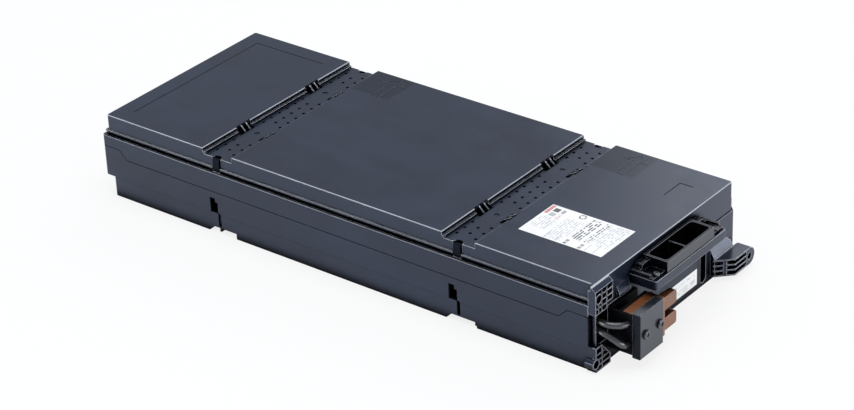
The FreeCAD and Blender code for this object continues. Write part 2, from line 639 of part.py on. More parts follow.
def retaining_arm():
    """Arm that bends forward and sideways from the front wall, cored in front, holed at its round end."""
    bottom = ARM_TOP - ARM_HEIGHT
    face, bend_back = TRAY_FRONT + ARM_REACH, TRAY_FRONT + ARM_BASE_DEPTH
    tip = ARM_HOLE_Y
    end_radius = ARM_HEIGHT / 2
    hole_z = ARM_TOP - end_radius
    start = ARM_BEND_Y - (face - bend_back)
    plan = [(bend_back - 1, start), (bend_back, start), (face, ARM_BEND_Y), (face, tip)]
    plan += [(face - ARM_DEPTH, tip), (face - ARM_DEPTH, ARM_BASE_END - 3), (bend_back - 1, ARM_BASE_END - 3)]
    arm = prism_z(plan, bottom, ARM_TOP)
    arm = arm.fuse(rod((face - ARM_DEPTH, tip, hole_z), (face, tip, hole_z), end_radius))
    chamfer = ARM_BASE_TOP - ARM_TOP
    base_profile = [(TRAY_FRONT - WALL / 2, bottom - 1), (bend_back - 2, bottom - 1), (bend_back, bottom + 2)]
    base_profile += [(bend_back, ARM_TOP), (TRAY_FRONT, ARM_BASE_TOP), (TRAY_FRONT - WALL / 2, ARM_BASE_TOP)]
    base = prism_y(base_profile, ARM_BASE_START, ARM_BASE_END + chamfer / 2)
    corner = [(ARM_BASE_END, ARM_BASE_TOP + 1), (ARM_BASE_END + chamfer, ARM_TOP), (ARM_BASE_END + chamfer, ARM_BASE_TOP + 1)]
    base = base.cut(prism_x(corner, TRAY_FRONT - WALL, face))

    half = ARM_RIB / 2
    depth = ARM_CORE_DEPTH
    core_end = tip - ARM_HOLE_RADIUS - ARM_HOLE_WALL
    core_plan = [(bend_back - 1, start), (bend_back + 1, start - 1), (face + 1, ARM_BEND_Y - 1), (face + 1, core_end)]
    core_plan += [(face - depth, core_end), (face - depth, ARM_BEND_Y), (bend_back - 1, start + depth)]
    gap = (ARM_HEIGHT - 4 * ARM_RIB) / 3
    cells = []
    for n in range(3):
        z = bottom + ARM_RIB + n * (gap + ARM_RIB)
        cells.append(prism_z(core_plan, z, z + gap))
    bend_mid = (face + bend_back) / 2
    web_y = (start + ARM_BEND_Y) / 2
    web = box(bend_back - 1, bend_mid + ARM_RIB, web_y - half, web_y + half + ARM_RIB, bottom, ARM_TOP)
    boss = rod((face - ARM_DEPTH, tip, hole_z), (face, tip, hole_z), ARM_HOLE_RADIUS + ARM_HOLE_WALL)
    hole = rod((face - ARM_DEPTH - 1, tip, hole_z), (face + 1, tip, hole_z), ARM_HOLE_RADIUS)
    web = web.common(arm)
    return arm.cut(cells).fuse([web, boss, base]).cut(hole)


def shelf():
    """Shelf that carries the handle: a root wall, two ears and a front strip around the cup's opening."""
    half, bottom = SHELF_HALF_WIDTH, SHELF_TOP - SHELF_STRIP_HEIGHT
    root_x = TRAY_FRONT - WALL
    opening = CUP_HALF_WIDTH + FIT
    root = box(root_x, TRAY_FRONT, -half, half, SEAM_Z - 1, SHELF_TOP)
    frame = box(TRAY_FRONT - 1, SHELF_FRONT, -half, half, bottom, SHELF_TOP)
    frame = round_edges(frame, 2.0, lambda b: upright(b) and b.XMin > TRAY_FRONT)
    hollow = box(TRAY_FRONT, SHELF_FRONT - SHELF_WALL, SHELF_WALL - half, half - SHELF_WALL, bottom - 1,
                 SHELF_TOP - SHELF_THICK)
    cup_gap = box(TRAY_FRONT, SHELF_FRONT - SHELF_WALL, -opening, opening, bottom - 1, SHELF_TOP + 1)
    bosses, pilots = [], []
    for side in (1, -1):
        at = (SHELF_FRONT - HANDLE_SCREW_FROM_EDGE, side * HANDLE_SCREW_Y)
        bosses.append(rod((*at, SHELF_TOP - HANDLE_BOSS_DEPTH), (*at, SHELF_TOP - SHELF_THICK / 2), HANDLE_BOSS_RADIUS))
        pilots.append(rod((*at, SHELF_TOP - HANDLE_BOSS_DEPTH - 1), (*at, SHELF_TOP + 1), HANDLE_SCREW_RADIUS + THREAD_FIT))
    inside = box(TRAY_FRONT, SHELF_FRONT - 1, -half, half, 0, HEIGHT)
    bosses = [boss.common(inside) for boss in bosses]
    return root.fuse([frame.cut([hollow, cup_gap])] + bosses), pilots


def make_tray():
    band = prism_z(tray_outline(), STEP_HEIGHT, RIM_Z)
    tub_plan = [(max(x, TUB_REAR), math.copysign(abs(y) - (TUB_SIDE_INSET if x < TRAY_FRONT else 0), y))
                for x, y in tray_outline()]
    tubs = prism_z(tub_plan, 0, STEP_HEIGHT)
    body = band.fuse(tubs)
    body = round_edges(body, REAR_CORNER_RADIUS, lambda b: upright(b) and b.XMax < TUB_REAR + 1)
    body = body.cut([prism_y(under_channel(start, 0), NEAR_Y - 1, HALF_TRAY + 1) for start in CHANNELS])
    body = body.cut(tray_cavity())
    shelf_body, pilots = shelf()

    front_cut = box(SIDE_END, TRAY_FRONT + 1, NEAR_Y - 1, HALF_TRAY + 1, SEAM_Z, HEIGHT)
    corner = box(SIDE_END, TRAY_FRONT + 1, NEAR_Y - 1, NEAR_Y + POST_INSET + 1, OPENING_BOTTOM, SEAM_Z + 1)
    post_end = NEAR_Y + POST_INSET + 1 + POST_WIDTH
    opening = box(SIDE_END - WALL, TRAY_FRONT + 1, post_end, post_end + OPENING_WIDTH, OPENING_BOTTOM, SEAM_Z + 1)
    radius = SLOT_WIDTH / 2
    slot_z = (SLOT_BOTTOM + radius, SLOT_TOP - radius)
    slot = box(TRAY_FRONT - WALL - 1, TRAY_FRONT + 1, SLOT_CENTRE - radius, SLOT_CENTRE + radius, *slot_z)
    slot_ends = [rod((TRAY_FRONT - WALL - 1, SLOT_CENTRE, z), (TRAY_FRONT + 1, SLOT_CENTRE, z), radius) for z in slot_z]
    cuts = [front_cut, corner, opening, slot] + slot_ends
    added = side_ribs() + cell_stops()
    for start in CHANNELS:
        cuts += both_sides(side_window(start))
        added += both_sides(snap_finger(start))
    cuts += both_sides(wall_line())
    body = body.cut(cuts).fuse(added)

    for y in CLAMP_SCREWS_Y:
        ends = (TRAY_FRONT - WALL - 1, y, CONNECTOR_Z), (TRAY_FRONT + 1, y, CONNECTOR_Z)
        pilots.append(rod(*ends, CLAMP_SCREW_RADIUS + THREAD_FIT))
    body = body.fuse([shelf_body, lower_block(), retaining_arm()])
    return body.cut(pilots).removeSplitter()


# ---- Handle ------------------------------------------------------------------------------------------------------
def make_handle():
    """Pull handle: a deep finger cup between two screwed ears, stepping down from the wall in wings."""
    flange_top = SHELF_TOP + FLANGE_THICK
    back, half = TRAY_FRONT + FIT, SHELF_HALF_WIDTH - FIT
    strip_face = SHELF_FRONT - CUP_FRONT_SET_BACK
    lower_face = SHELF_FRONT - SHELF_WALL - FIT
    cup = box(back, lower_face, -CUP_HALF_WIDTH, CUP_HALF_WIDTH, CUP_BOTTOM, CUP_TOP)
    cup = cup.fuse(box(back, strip_face, -CUP_HALF_WIDTH, CUP_HALF_WIDTH, SHELF_TOP, CUP_TOP)).removeSplitter()
    flange = box(back, strip_face - SHELF_WALL, -half, half, SHELF_TOP, flange_top)
    wing = box(back, back + WING_DEPTH, -WING_HALF_WIDTH, WING_HALF_WIDTH, SHELF_TOP, HEIGHT - WING_TOP_DROP)
    wing = round_edges(wing, HANDLE_ROUND, lambda b: b.XLength > 1 and b.ZMin > SHELF_TOP + 1 and b.YLength < 1e-3)
    ear = box(back, back + EAR_RIM_LENGTH, half - EAR_RIM, half, SHELF_TOP, HEIGHT - EAR_TOP_DROP)
    step = box(back, back + WING_DEPTH, -half, half, SHELF_TOP, HEIGHT - EAR_TOP_DROP)
    step = round_edges(step, HANDLE_ROUND, lambda b: b.XLength > 1 and b.ZMin > SHELF_TOP + 1 and b.YLength < 1e-3)

    inner = box(back + CUP_WALL, lower_face - CUP_WALL, CUP_WALL - CUP_HALF_WIDTH, CUP_HALF_WIDTH - CUP_WALL,
                CUP_BOTTOM + CUP_WALL, HEIGHT)
    inner = round_edges(inner, CUP_CORNER_RADIUS, upright)
    mouth = box(back + CUP_WALL, strip_face - CUP_WALL, CUP_WALL - CUP_HALF_WIDTH, CUP_HALF_WIDTH - CUP_WALL,
                flange_top, HEIGHT)
    mouth = round_edges(mouth, CUP_CORNER_RADIUS, upright)
    rib = box(back + 1, lower_face - 1, -CUP_RIB / 2, CUP_RIB / 2, CUP_BOTTOM + 1, CUP_TOP - CUP_RIB_DROP)
    body = cup.fuse([flange, wing, step] + both_sides(ear)).cut([inner, mouth]).fuse(rib)
    holes = []
    for side in (1, -1):
        at = (SHELF_FRONT - HANDLE_SCREW_FROM_EDGE, side * HANDLE_SCREW_Y)
        holes.append(rod((*at, SHELF_TOP - 1), (*at, flange_top + 1), HANDLE_SCREW_RADIUS + FIT))
    return body.cut(holes).removeSplitter()


def pan_screw(start, direction, radius, length, head_radius, head_height):
    """Cross-recessed pan-head screw; start is the seat under the head, direction points to the tip."""
    start, direction = Vector(*start), Vector(*direction)
    shank = Part.makeCylinder(radius, length, start, direction)
    head = Part.makeCylinder(head_radius, head_height, start, direction * -1)
    crown = max(head.Edges, key=lambda edge: edge.BoundBox.Center.sub(start).dot(direction * -1))
    head = head.makeFillet(head_height * 0.45, [crown])
    across = Vector(0, 1, 0)
    other = direction.cross(across)
    bars = []
    for along, wide in ((across, other), (other, across)):
        bar = [along * head_radius * 0.55 * a + wide * head_radius * 0.13 * b for a, b in ((1, 1), (1, -1), (-1, -1), (-1, 1))]
        bar = [start - direction * (head_height * 0.45) + corner for corner in bar]
        bars.append(plate(bar).extrude(direction * -head_height))
    return shank.fuse(head).cut(bars)


def make_handle_screws():
    seat = SHELF_TOP + FLANGE_THICK
    at = [(SHELF_FRONT - HANDLE_SCREW_FROM_EDGE, side * HANDLE_SCREW_Y, seat) for side in (1, -1)]
    return Part.Compound([pan_screw(place, (0, 0, -1), HANDLE_SCREW_RADIUS, HANDLE_SCREW_LENGTH,
                                    HANDLE_HEAD_RADIUS, HANDLE_HEAD_HEIGHT) for place in at])


# ---- Connector ---------------------------------------------------------------------------------------------------
def make_connector_housing():
    """Two-pole housing: a block for the wires, and two hooked prongs on its front half."""
    half = CONNECTOR_HEIGHT / 2
    body = box(CONNECTOR_BACK, CONNECTOR_FACE, CONNECTOR_Y, CONNECTOR_BODY_END, CONNECTOR_Z - half, CONNECTOR_Z + half)
    body = round_edges(body, 1.5, lambda b: b.YLength > 1 and b.XLength < 1e-3 and b.ZLength < 1e-3)
    prong_face = CONNECTOR_FACE - PRONG_SET_BACK
    end = CONNECTOR_Y + CONNECTOR_LENGTH
    prongs, guards = [], []
    for sign in (1, -1):
        z0, z1 = sorted((CONNECTOR_Z + sign * PRONG_INNER, CONNECTOR_Z + sign * PRONG_OUTER))
        prong = box(prong_face - PRONG_THICK, prong_face, CONNECTOR_BODY_END - 1, end, z0, z1)
        prongs.append(round_edges(prong, PRONG_RADIUS, lambda b: b.XLength > 1 and b.YMin > end - 1e-3))
        guards.append(box(CONNECTOR_BACK, CONNECTOR_BACK + 3, CONNECTOR_BODY_END - 1, end - 16, z0, z1))
    slot_x, slot_z = CONTACT_THICK / 2 + FIT, CONTACT_WIDTH / 2 + FIT
    bores = []
    for z in POLES_Z:
        bores.append(rod((WIRE_X, CONNECTOR_Y - 1, z), (WIRE_X, CONNECTOR_Y + BARREL_END, z), LEAD_RADIUS + FIT))
        bores.append(box(WIRE_X - slot_x, WIRE_X + slot_x, CONNECTOR_Y + BARREL_END - 1, CONTACT_END + FIT,
                         z - slot_z, z + slot_z))
    bores += [rod((CONNECTOR_BACK - 1, y, CONNECTOR_Z), (CONNECTOR_FACE + 1, y, CONNECTOR_Z), CLAMP_SCREW_RADIUS + FIT)
              for y in CLAMP_SCREWS_Y]
    return body.fuse(prongs + guards).cut(bores).removeSplitter()


def make_connector_contacts():
    """Two flat contact blades, one per pole, crimped to the leads inside the housing."""
    half_t, half_w = CONTACT_THICK / 2, CONTACT_WIDTH / 2
    barrel_start, barrel_end = CONNECTOR_Y + BARREL_START, CONNECTOR_Y + BARREL_END
    tip = [(WIRE_X - half_t, CONTACT_END - 3), (WIRE_X - half_t, CONTACT_END + 1), (WIRE_X + half_t, CONTACT_END + 1)]
    blades = []
    for z in POLES_Z:
        blade = box(WIRE_X - half_t, WIRE_X + half_t, barrel_end - 1, CONTACT_END, z - half_w, z + half_w)
        blade = blade.cut(prism_z(tip, z - half_w - 1, z + half_w + 1))
        barrel = rod((WIRE_X, barrel_start, z), (WIRE_X, barrel_end, z), LEAD_RADIUS)
        blades.append(blade.fuse(barrel).removeSplitter())
    return Part.Compound(blades)


def make_connector_cover():
    """Cover over the front of the connector, with a skirt round three sides."""
    half = CONNECTOR_HEIGHT / 2 + COVER_THICK + FIT
    near = CONNECTOR_Y - COVER_THICK - FIT
    cover = box(COVER_FACE - COVER_SKIRT, COVER_FACE + FIT, near, near + COVER_WIDTH, CONNECTOR_Z - half, CONNECTOR_Z + half)
    cover = round_edges(cover, 0.8, lambda b: b.XMin > COVER_FACE)
    inner = half - COVER_THICK
    cover = cover.cut(box(0, CONNECTOR_FACE + FIT, near + COVER_THICK, near + COVER_WIDTH + 1,
                          CONNECTOR_Z - inner, CONNECTOR_Z + inner))
    holes = [rod((CONNECTOR_FACE, y, CONNECTOR_Z), (COVER_FACE + 1, y, CONNECTOR_Z), CLAMP_SCREW_RADIUS + FIT)
             for y in CLAMP_SCREWS_Y]
    return cover.cut(holes)


def make_connector_bracket():
    """Bracket behind the connector: a foot, two pillars, a saddle and a cheek that guides the leads."""
    half = CONNECTOR_HEIGHT / 2
    y0, y1 = CONNECTOR_Y - FIT - BRACKET_PLATE, CONNECTOR_BODY_END
    cheek_end = COVER_FACE - COVER_SKIRT - FIT
    cheek = box(TRAY_FRONT, cheek_end, y0, y0 + BRACKET_PLATE, CONNECTOR_Z - half, CONNECTOR_Z + half)
    foot = box(TRAY_FRONT, TRAY_FRONT + BRACKET_PLATE, y0, y1, CONNECTOR_Z - half, CONNECTOR_Z + half)
    saddle = box(CONNECTOR_BACK - BRACKET_PLATE, CONNECTOR_BACK, y0, y1, CONNECTOR_Z - half, CONNECTOR_Z + half)
    web = box(TRAY_FRONT, CONNECTOR_BACK, y0, y1, CONNECTOR_Z - BRACKET_PLATE / 2, CONNECTOR_Z + BRACKET_PLATE / 2)
    pillars, holes = [], [rod((WIRE_X, y0 - 1, z), (WIRE_X, CONNECTOR_Y, z), LEAD_RADIUS + GUIDE_FIT) for z in POLES_Z]
    for y in CLAMP_SCREWS_Y:
        ends = (TRAY_FRONT, y, CONNECTOR_Z), (CONNECTOR_BACK, y, CONNECTOR_Z)
        pillars.append(rod(*ends, BRACKET_PILLAR_RADIUS))
        holes.append(rod(*ends, CLAMP_SCREW_RADIUS + THREAD_FIT))
    return foot.fuse([saddle, web, cheek] + pillars).cut(holes).removeSplitter()


def make_clamp_screws():
    length = COVER_FACE + FIT - (TRAY_FRONT - WALL) - FIT
    return Part.Compound([pan_screw((COVER_FACE + FIT, y, CONNECTOR_Z), (-1, 0, 0), CLAMP_SCREW_RADIUS, length,
                                    CLAMP_HEAD_RADIUS, CLAMP_HEAD_HEIGHT) for y in CLAMP_SCREWS_Y])


# ---- Sealed blocks and wiring -------------------------------------------------------------------------------------
def tab_y(side, inner):
    """Y of a tab: side 0 is the near block, 1 the far block; inner is the tab nearer the middle."""
    sign = 1 if (side == 0) == inner else -1
    return CELL_MIDDLES_Y[side] + sign * TAB_FROM_MIDDLE


def make_cell(face, way, side):
    """Sealed block lying on its side, with the joint line of its moulded top."""
    x0, x1 = sorted((face, face - way * CELL_LENGTH))
    middle = CELL_MIDDLES_Y[side]
    half = CELL_WIDTH / 2 - FIT / 2
    cell = box(x0, x1, middle - half, middle + half, WALL, CELL_TOP)
    cell = cell.makeChamfer(CELL_CHAMFER, [edge for edge in cell.Edges if edge.BoundBox.XLength > 1])
    seam_x = face - way * CELL_LID_SEAM
    seam = box(seam_x - CELL_LID_LINE, seam_x + CELL_LID_LINE, middle - half - 1, middle + half + 1, 0, HEIGHT)
    core = box(seam_x - 2, seam_x + 2, middle - half + CELL_LID_LINE, middle + half - CELL_LID_LINE,
               WALL + CELL_LID_LINE, CELL_TOP - CELL_LID_LINE)
    return cell.cut(seam.cut(core))


def make_cell_tabs():
    blades = []
    for name, face, way in CELL_ROWS:
        for side in (0, 1):
            for inner in (True, False):
                y = tab_y(side, inner)
                x0, x1 = sorted((face, face + way * TAB_BLADE_LENGTH))
                blades.append(box(x0, x1, y - TAB_BLADE_WIDTH / 2, y + TAB_BLADE_WIDTH / 2,
                                  TAB_Z - TAB_BLADE_THICK / 2, TAB_Z + TAB_BLADE_THICK / 2))
    return Part.Compound(blades)


def tab_tip(name, side, inner):
    return Vector(TAB_FACE[name] + TAB_WAY[name] * TAB_BLADE_LENGTH, tab_y(side, inner), TAB_Z)


def straight_link(first, second, side, inner):
    """Link between two tabs that face each other across a channel."""
    return rod(tab_tip(first, side, inner), tab_tip(second, side, inner), LINK_RADIUS)


def bridge_strap(side, inner):
    """Flat insulated strap over the tops of the four middle blocks, bent down to a tab at each end."""
    front, rear = tab_tip("mid_front", side, inner), tab_tip("mid_rear", side, inner)
    high, low = CELL_TOP + STRAP_THICK, TAB_Z - STRAP_FOOT
    outline = [(rear.x - STRAP_THICK, low), (rear.x - STRAP_THICK, high), (front.x + STRAP_THICK, high)]
    outline += [(front.x + STRAP_THICK, low), (front.x, low), (front.x, CELL_TOP), (rear.x, CELL_TOP), (rear.x, low)]
    strap = prism_y(outline, front.y - STRAP_WIDTH / 2, front.y + STRAP_WIDTH / 2)
    return round_edges(strap, STRAP_THICK * 0.8, lambda b: b.YLength > 1 and b.ZMin > high - 1e-3)


def fused_link():
    """Link between the two rear blocks, broken by the fuse."""
    near, far = tab_tip("rear", 0, False), tab_tip("rear", 1, True)
    x = near.x + LINK_BEND + LINK_RADIUS
    drop = TAB_Z - 3 * LINK_BEND
    middle = (near.y + far.y) / 2
    fuse_ends = middle - FUSE_LENGTH / 2, middle + FUSE_LENGTH / 2
    fuse = rod((x, fuse_ends[0], drop), (x, fuse_ends[1], drop), FUSE_RADIUS)
    parts, radii = [], []
    for tip, end in ((near, fuse_ends[0]), (far, fuse_ends[1])):
        wire, bends = tube([tip, (x, tip.y, tip.z), (x, tip.y, drop), (x, end, drop)], LINK_RADIUS)
        parts.append(wire)
        radii += bends
    return Part.Compound(parts), fuse, radii


# Main leads: points chosen along their way, between the tab of a front block and the crimp of a contact
GAP_X = CHANNEL_2
POSITIVE_ROUTE = (
    (GAP_X + 29.0, CELL_NEAR_Y + 11.0, TAB_Z),
    (GAP_X + 19.8, CELL_NEAR_Y + 1.8, TAB_Z - 1.5),
    (GAP_X + 19.8, NEAR_Y + 24.6, TAB_Z - 3.5),
    (GAP_X + 29.0, NEAR_Y + 15.4, TAB_Z - 5.5),
    (GAP_X + 55.0, NEAR_Y + 15.2, TAB_Z - 8.0),
    (FRONT_X - 59.0, NEAR_Y + 15.4, TAB_Z - 10.0),
    (FRONT_X - 15.0, NEAR_Y + 11.6, POLES_Z[0] + 2.5),
    (FRONT_X + 11.8, NEAR_Y + 9.7, POLES_Z[0] + 1.5),
    (WIRE_X, NEAR_Y + 19.4, POLES_Z[0]),
)
NEGATIVE_ROUTE = (
    (GAP_X + 37.5, CELL_MIDDLES_Y[1] - TAB_FROM_MIDDLE, TAB_Z),
    (GAP_X + 28.5, CELL_MIDDLES_Y[1] - 45.0, TAB_Z - 9.5),
    (GAP_X + 26.0, CELL_MIDDLES_Y[1] - 69.0, TAB_Z - 15.5),
    (GAP_X + 24.5, CELL_NEAR_Y + 30.0, TAB_Z - 19.0),
    (GAP_X + 25.0, CELL_NEAR_Y - 1.0, TAB_Z - 20.5),
    (GAP_X + 44.6, NEAR_Y + 15.4, TAB_Z - 20.9),
    (GAP_X + 79.0, NEAR_Y + 15.2, TAB_Z - 21.1),
    (FRONT_X - 43.0, NEAR_Y + 14.8, TAB_Z - 21.3),
    (FRONT_X - 13.0, NEAR_Y + 11.6, POLES_Z[1] + 14.3),
    (FRONT_X + 8.5, NEAR_Y + 9.7, POLES_Z[1] + 12.5),
    (FRONT_X + 19.3, NEAR_Y + 13.6, POLES_Z[1] + 5.5),
    (WIRE_X, NEAR_Y + 20.4, POLES_Z[1]),
)


def make_lead(route, inner, side, pole):
    """One main lead, from its tab to the crimp barrel of its contact."""
    start = tab_tip("front", side, inner)
    end = Vector(WIRE_X, CONNECTOR_Y + BARREL_START, POLES_Z[pole])
    return tube([start, *route, end], LEAD_RADIUS)


def make_pads():
    """Foam strips between the blocks and the lid, clear of the bridge links."""
    spans = {
        "rear": (TAB_FACE["rear"] - CELL_LENGTH, CHANNEL_1 - WALL),
        "middle": (CHANNEL_1 + CHANNEL_LENGTH + WALL, CHANNEL_2 - WALL),
        "front": (CHANNEL_2 + CHANNEL_LENGTH + WALL, FRONT_X - WALL),
    }
    pads = {}
    for name, (x0, x1) in spans.items():
        strips = [box(x0 + PAD_INSET, x1 - PAD_INSET, middle - PAD_WIDTH / 2, middle + PAD_WIDTH / 2,
                      CELL_TOP, CELL_TOP + PAD_THICK) for middle in CELL_MIDDLES_Y]
        pads["foam_pads_" + name] = Part.Compound(strips)
    return pads


def make_labels():
    middle = FRONT_X - TOP_LABEL_INSET
    top = box(middle - TOP_LABEL_LENGTH / 2, middle + TOP_LABEL_LENGTH / 2,
              TOP_LABEL_Y - TOP_LABEL_WIDTH / 2, TOP_LABEL_Y + TOP_LABEL_WIDTH / 2, HEIGHT, HEIGHT + LABEL_THICK)
    front = box(TRAY_FRONT, TRAY_FRONT + LABEL_THICK, FRONT_LABEL_Y - FRONT_LABEL_WIDTH / 2,
                FRONT_LABEL_Y + FRONT_LABEL_WIDTH / 2, FRONT_LABEL_Z - FRONT_LABEL_HEIGHT / 2,
                FRONT_LABEL_Z + FRONT_LABEL_HEIGHT / 2)
    return {"top_label": top, "front_label": front}


def make_pieces():
    pieces = {
        "tray": make_tray(),
        "lid": make_lid(),
        "pull_handle": make_handle(),
        "handle_screws": make_handle_screws(),
        "connector_housing": make_connector_housing(),
        "connector_contacts": make_connector_contacts(),
        "connector_cover": make_connector_cover(),
        "connector_bracket": make_connector_bracket(),
        "clamp_screws": make_clamp_screws(),
        "cell_tabs": make_cell_tabs(),
    }
    for name, face, way in CELL_ROWS:
        for side, word in enumerate(("near", "far")):
            pieces["cell_%s_%s" % (name, word)] = make_cell(face, way, side)
    pieces["link_rear_near"] = straight_link("rear", "mid_rear", 0, True)
    pieces["link_rear_far"] = straight_link("rear", "mid_rear", 1, False)
    pieces["link_front_near"] = straight_link("mid_front", "front", 0, True)
    pieces["link_front_far"] = straight_link("mid_front", "front", 1, False)
    bends = {}
    pieces["bridge_strap_near"] = bridge_strap(0, False)
    pieces["bridge_strap_far"] = bridge_strap(1, True)
    pieces["fused_link"], pieces["string_fuse"], bends["fused_link"] = fused_link()
    pieces["positive_lead"], bends["positive_lead"] = make_lead(POSITIVE_ROUTE, False, 0, 0)
    pieces["negative_lead"], bends["negative_lead"] = make_lead(NEGATIVE_ROUTE, True, 1, 1)
    pieces.update(make_pads())
    pieces.update(make_labels())
    for name, radii in bends.items():
        print(name, "arc radii", ", ".join("%.1f" % radius for radius in radii))
    return pieces


def main():
    os.makedirs("parts", exist_ok=True)
    for name, shape in make_pieces().items():
        shape.exportStep("parts/%s.step" % name)


main()
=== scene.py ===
# %% [markdown]
# # A battery cartridge for a rack power supply
# Eight sealed blocks sit in a moulded tray under a clip-on lid, with a pull handle and a two-pole
# connector in front. The solids come from CAD and are right to the tenth of a millimetre, so
# Blender's work here is finish: what each plastic, metal and film does with light.
# The imported model is loaded first, and each piece's placement is written into its mesh.

# %% Load the cartridge
import math

import bpy
from mathutils import Matrix, Vector


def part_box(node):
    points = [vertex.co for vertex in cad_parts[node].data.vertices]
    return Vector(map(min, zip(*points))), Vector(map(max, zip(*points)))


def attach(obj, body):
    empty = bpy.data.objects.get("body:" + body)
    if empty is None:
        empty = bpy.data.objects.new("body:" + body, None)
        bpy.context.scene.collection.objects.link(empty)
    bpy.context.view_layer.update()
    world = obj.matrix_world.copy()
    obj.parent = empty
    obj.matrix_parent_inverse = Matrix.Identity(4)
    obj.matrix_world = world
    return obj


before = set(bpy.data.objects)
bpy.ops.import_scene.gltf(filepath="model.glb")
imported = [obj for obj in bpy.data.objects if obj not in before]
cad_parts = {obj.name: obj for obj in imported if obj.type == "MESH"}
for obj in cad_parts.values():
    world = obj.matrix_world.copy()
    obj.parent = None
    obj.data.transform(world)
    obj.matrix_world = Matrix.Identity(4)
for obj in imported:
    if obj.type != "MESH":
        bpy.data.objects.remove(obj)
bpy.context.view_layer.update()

# %% [markdown]
# ## The camera
# A long lens from the handle's near corner, a little under thirty degrees up, keeps the long lid
# almost free of perspective. A camera can be aimed with a constraint, but a matrix built from
# three axes says the same thing with nothing left live: one axis points back from the subject,
# one right and one up, and a small roll turns the last two about the first.

# %% Set up the camera
AIM = Vector((0.0815, -0.0786, 0.084))
DISTANCE = 2.381
AZIMUTH, ELEVATION, ROLL = math.radians(38.89), math.radians(29.11), math.radians(-2.47)

back = Vector((math.sin(AZIMUTH) * math.cos(ELEVATION),
               -math.cos(AZIMUTH) * math.cos(ELEVATION), math.sin(ELEVATION)))
right = (-back).cross(Vector((0, 0, 1))).normalized()
up = right.cross(-back)
rolled_right = math.cos(ROLL) * right + math.sin(ROLL) * up
rolled_up = -math.sin(ROLL) * right + math.cos(ROLL) * up

lens = bpy.data.cameras.new("long_lens")
lens.lens = 112.8
lens.sensor_width = 36.0
camera = bpy.data.objects.new("camera", lens)
bpy.context.scene.collection.objects.link(camera)
turned = Matrix((rolled_right, rolled_up, back)).transposed().to_4x4()
turned.translation = AIM + back * DISTANCE
camera.matrix_world = turned
bpy.context.scene.camera = camera
print("camera stands at", [round(v, 3) for v in turned.translation])

# %% [markdown]
# ## Colours and nodes
# Paint charts and plastic samples give a colour as a hex value for the screen. Shaders count
# light, so the value is made linear first, and one function does that for every colour in the
# file. Shader trees are long when they are written out node by node, so one small function adds
# any node with its settings and its links. Two more start an empty material and put a finished
# one on pieces.

# %% Define the helpers
def linear(hex_colour):
    """The linear colour of an sRGB hex value such as "2A2E3A"."""
    channels = [int(hex_colour[i:i + 2], 16) / 255 for i in (0, 2, 4)]
    return tuple(c / 12.92 if c <= 0.04045 else ((c + 0.055) / 1.055) ** 2.4
                 for c in channels) + (1.0,)


def add(tree, kind, inputs, **settings):
    """Adds one shader node, with its settings, and sets or links its inputs."""
    made = tree.nodes.new("ShaderNode" + kind)
    for name, value in settings.items():
        setattr(made, name, value)
    for socket, value in inputs.items():
        if isinstance(value, bpy.types.NodeSocket):
            tree.links.new(value, made.inputs[socket])
        else:
            made.inputs[socket].default_value = value
    return made


def start_finish(name):
    """An empty material and its tree."""
    finish = bpy.data.materials.new(name)
    finish.use_nodes = True
    finish.node_tree.nodes.clear()
    return finish, finish.node_tree


def dress(finish, *pieces):
    """Gives a finish to CAD pieces through their material slots."""
    for name in pieces:
        for material_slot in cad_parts[name].material_slots:
            material_slot.material = finish
        print(finish.name, "on", name)


print("charcoal in linear light:", [round(c, 4) for c in linear("2A2E3A")])

# %% [markdown]
# ## Studio floor
# The cartridge stands on a pale sweep. A painted board is diffuse, and it keeps the soft shadow
# under the tray. Light Path tells what kind of ray has reached the board. A camera ray finds it
# lifted most of the way to plain white, so it reads as white paper. A mirror or glass finds it
# lifted a little, or the lower walls of the tray would turn pale. The light that the board throws
# back on the cartridge stays that of ordinary paint.

# %% Lay the floor
FLOOR_SIZE = 14.0
SEEN_WHITE, MIRRORED_WHITE = 0.82, 0.15
bpy.ops.object.select_all(action="DESELECT")
bpy.ops.mesh.primitive_plane_add(size=FLOOR_SIZE, location=(0, 0, 0))
floor = bpy.context.active_object
floor.name = "floor"
bpy.ops.object.transform_apply(location=True, rotation=True, scale=True)

board, tree = start_finish("white_painted_board")
path = add(tree, "LightPath", {}).outputs
mirrored = add(tree, "Math", {0: path["Is Glossy Ray"], 1: path["Is Transmission Ray"]},
               operation="MAXIMUM").outputs[0]
mirrored = add(tree, "Math", {0: mirrored, 1: MIRRORED_WHITE}, operation="MULTIPLY").outputs[0]
direct = add(tree, "Math", {0: path["Is Camera Ray"], 1: SEEN_WHITE},
             operation="MULTIPLY").outputs[0]
share = add(tree, "Math", {0: mirrored, 1: direct}, operation="MAXIMUM").outputs[0]
paint = add(tree, "BsdfDiffuse", {"Color": linear("F4F4F4")}).outputs[0]
paper_white = add(tree, "Emission", {"Color": (1, 1, 1, 1), "Strength": 1.0}).outputs[0]
shown = add(tree, "MixShader", {0: share, 1: paint, 2: paper_white})
add(tree, "OutputMaterial", {"Surface": shown.outputs[0]})
floor.data.materials.append(board)
print("floor", floor.dimensions[:2])

# %% [markdown]
# ## Studio light
# Dark plastic has little colour of its own and shows the room instead: each face takes its tone
# from the softbox or the board that it mirrors. So the lamps are placed by reflection. One long
# strip stands close to the floor on the near side, and a strip and a shorter fill stand at the
# handle end. A rounded rim turns its normal from the wall to the lid, and on the way it mirrors a
# strip as one bright line. The strips also fill the walls that face them, and pass under the
# steps of the lid, so those stay dark. A box overhead lights the lid and its label, and a wide,
# dim box behind gives the lid its slow change from dark to light. The world is an even grey with
# a little blue in it.

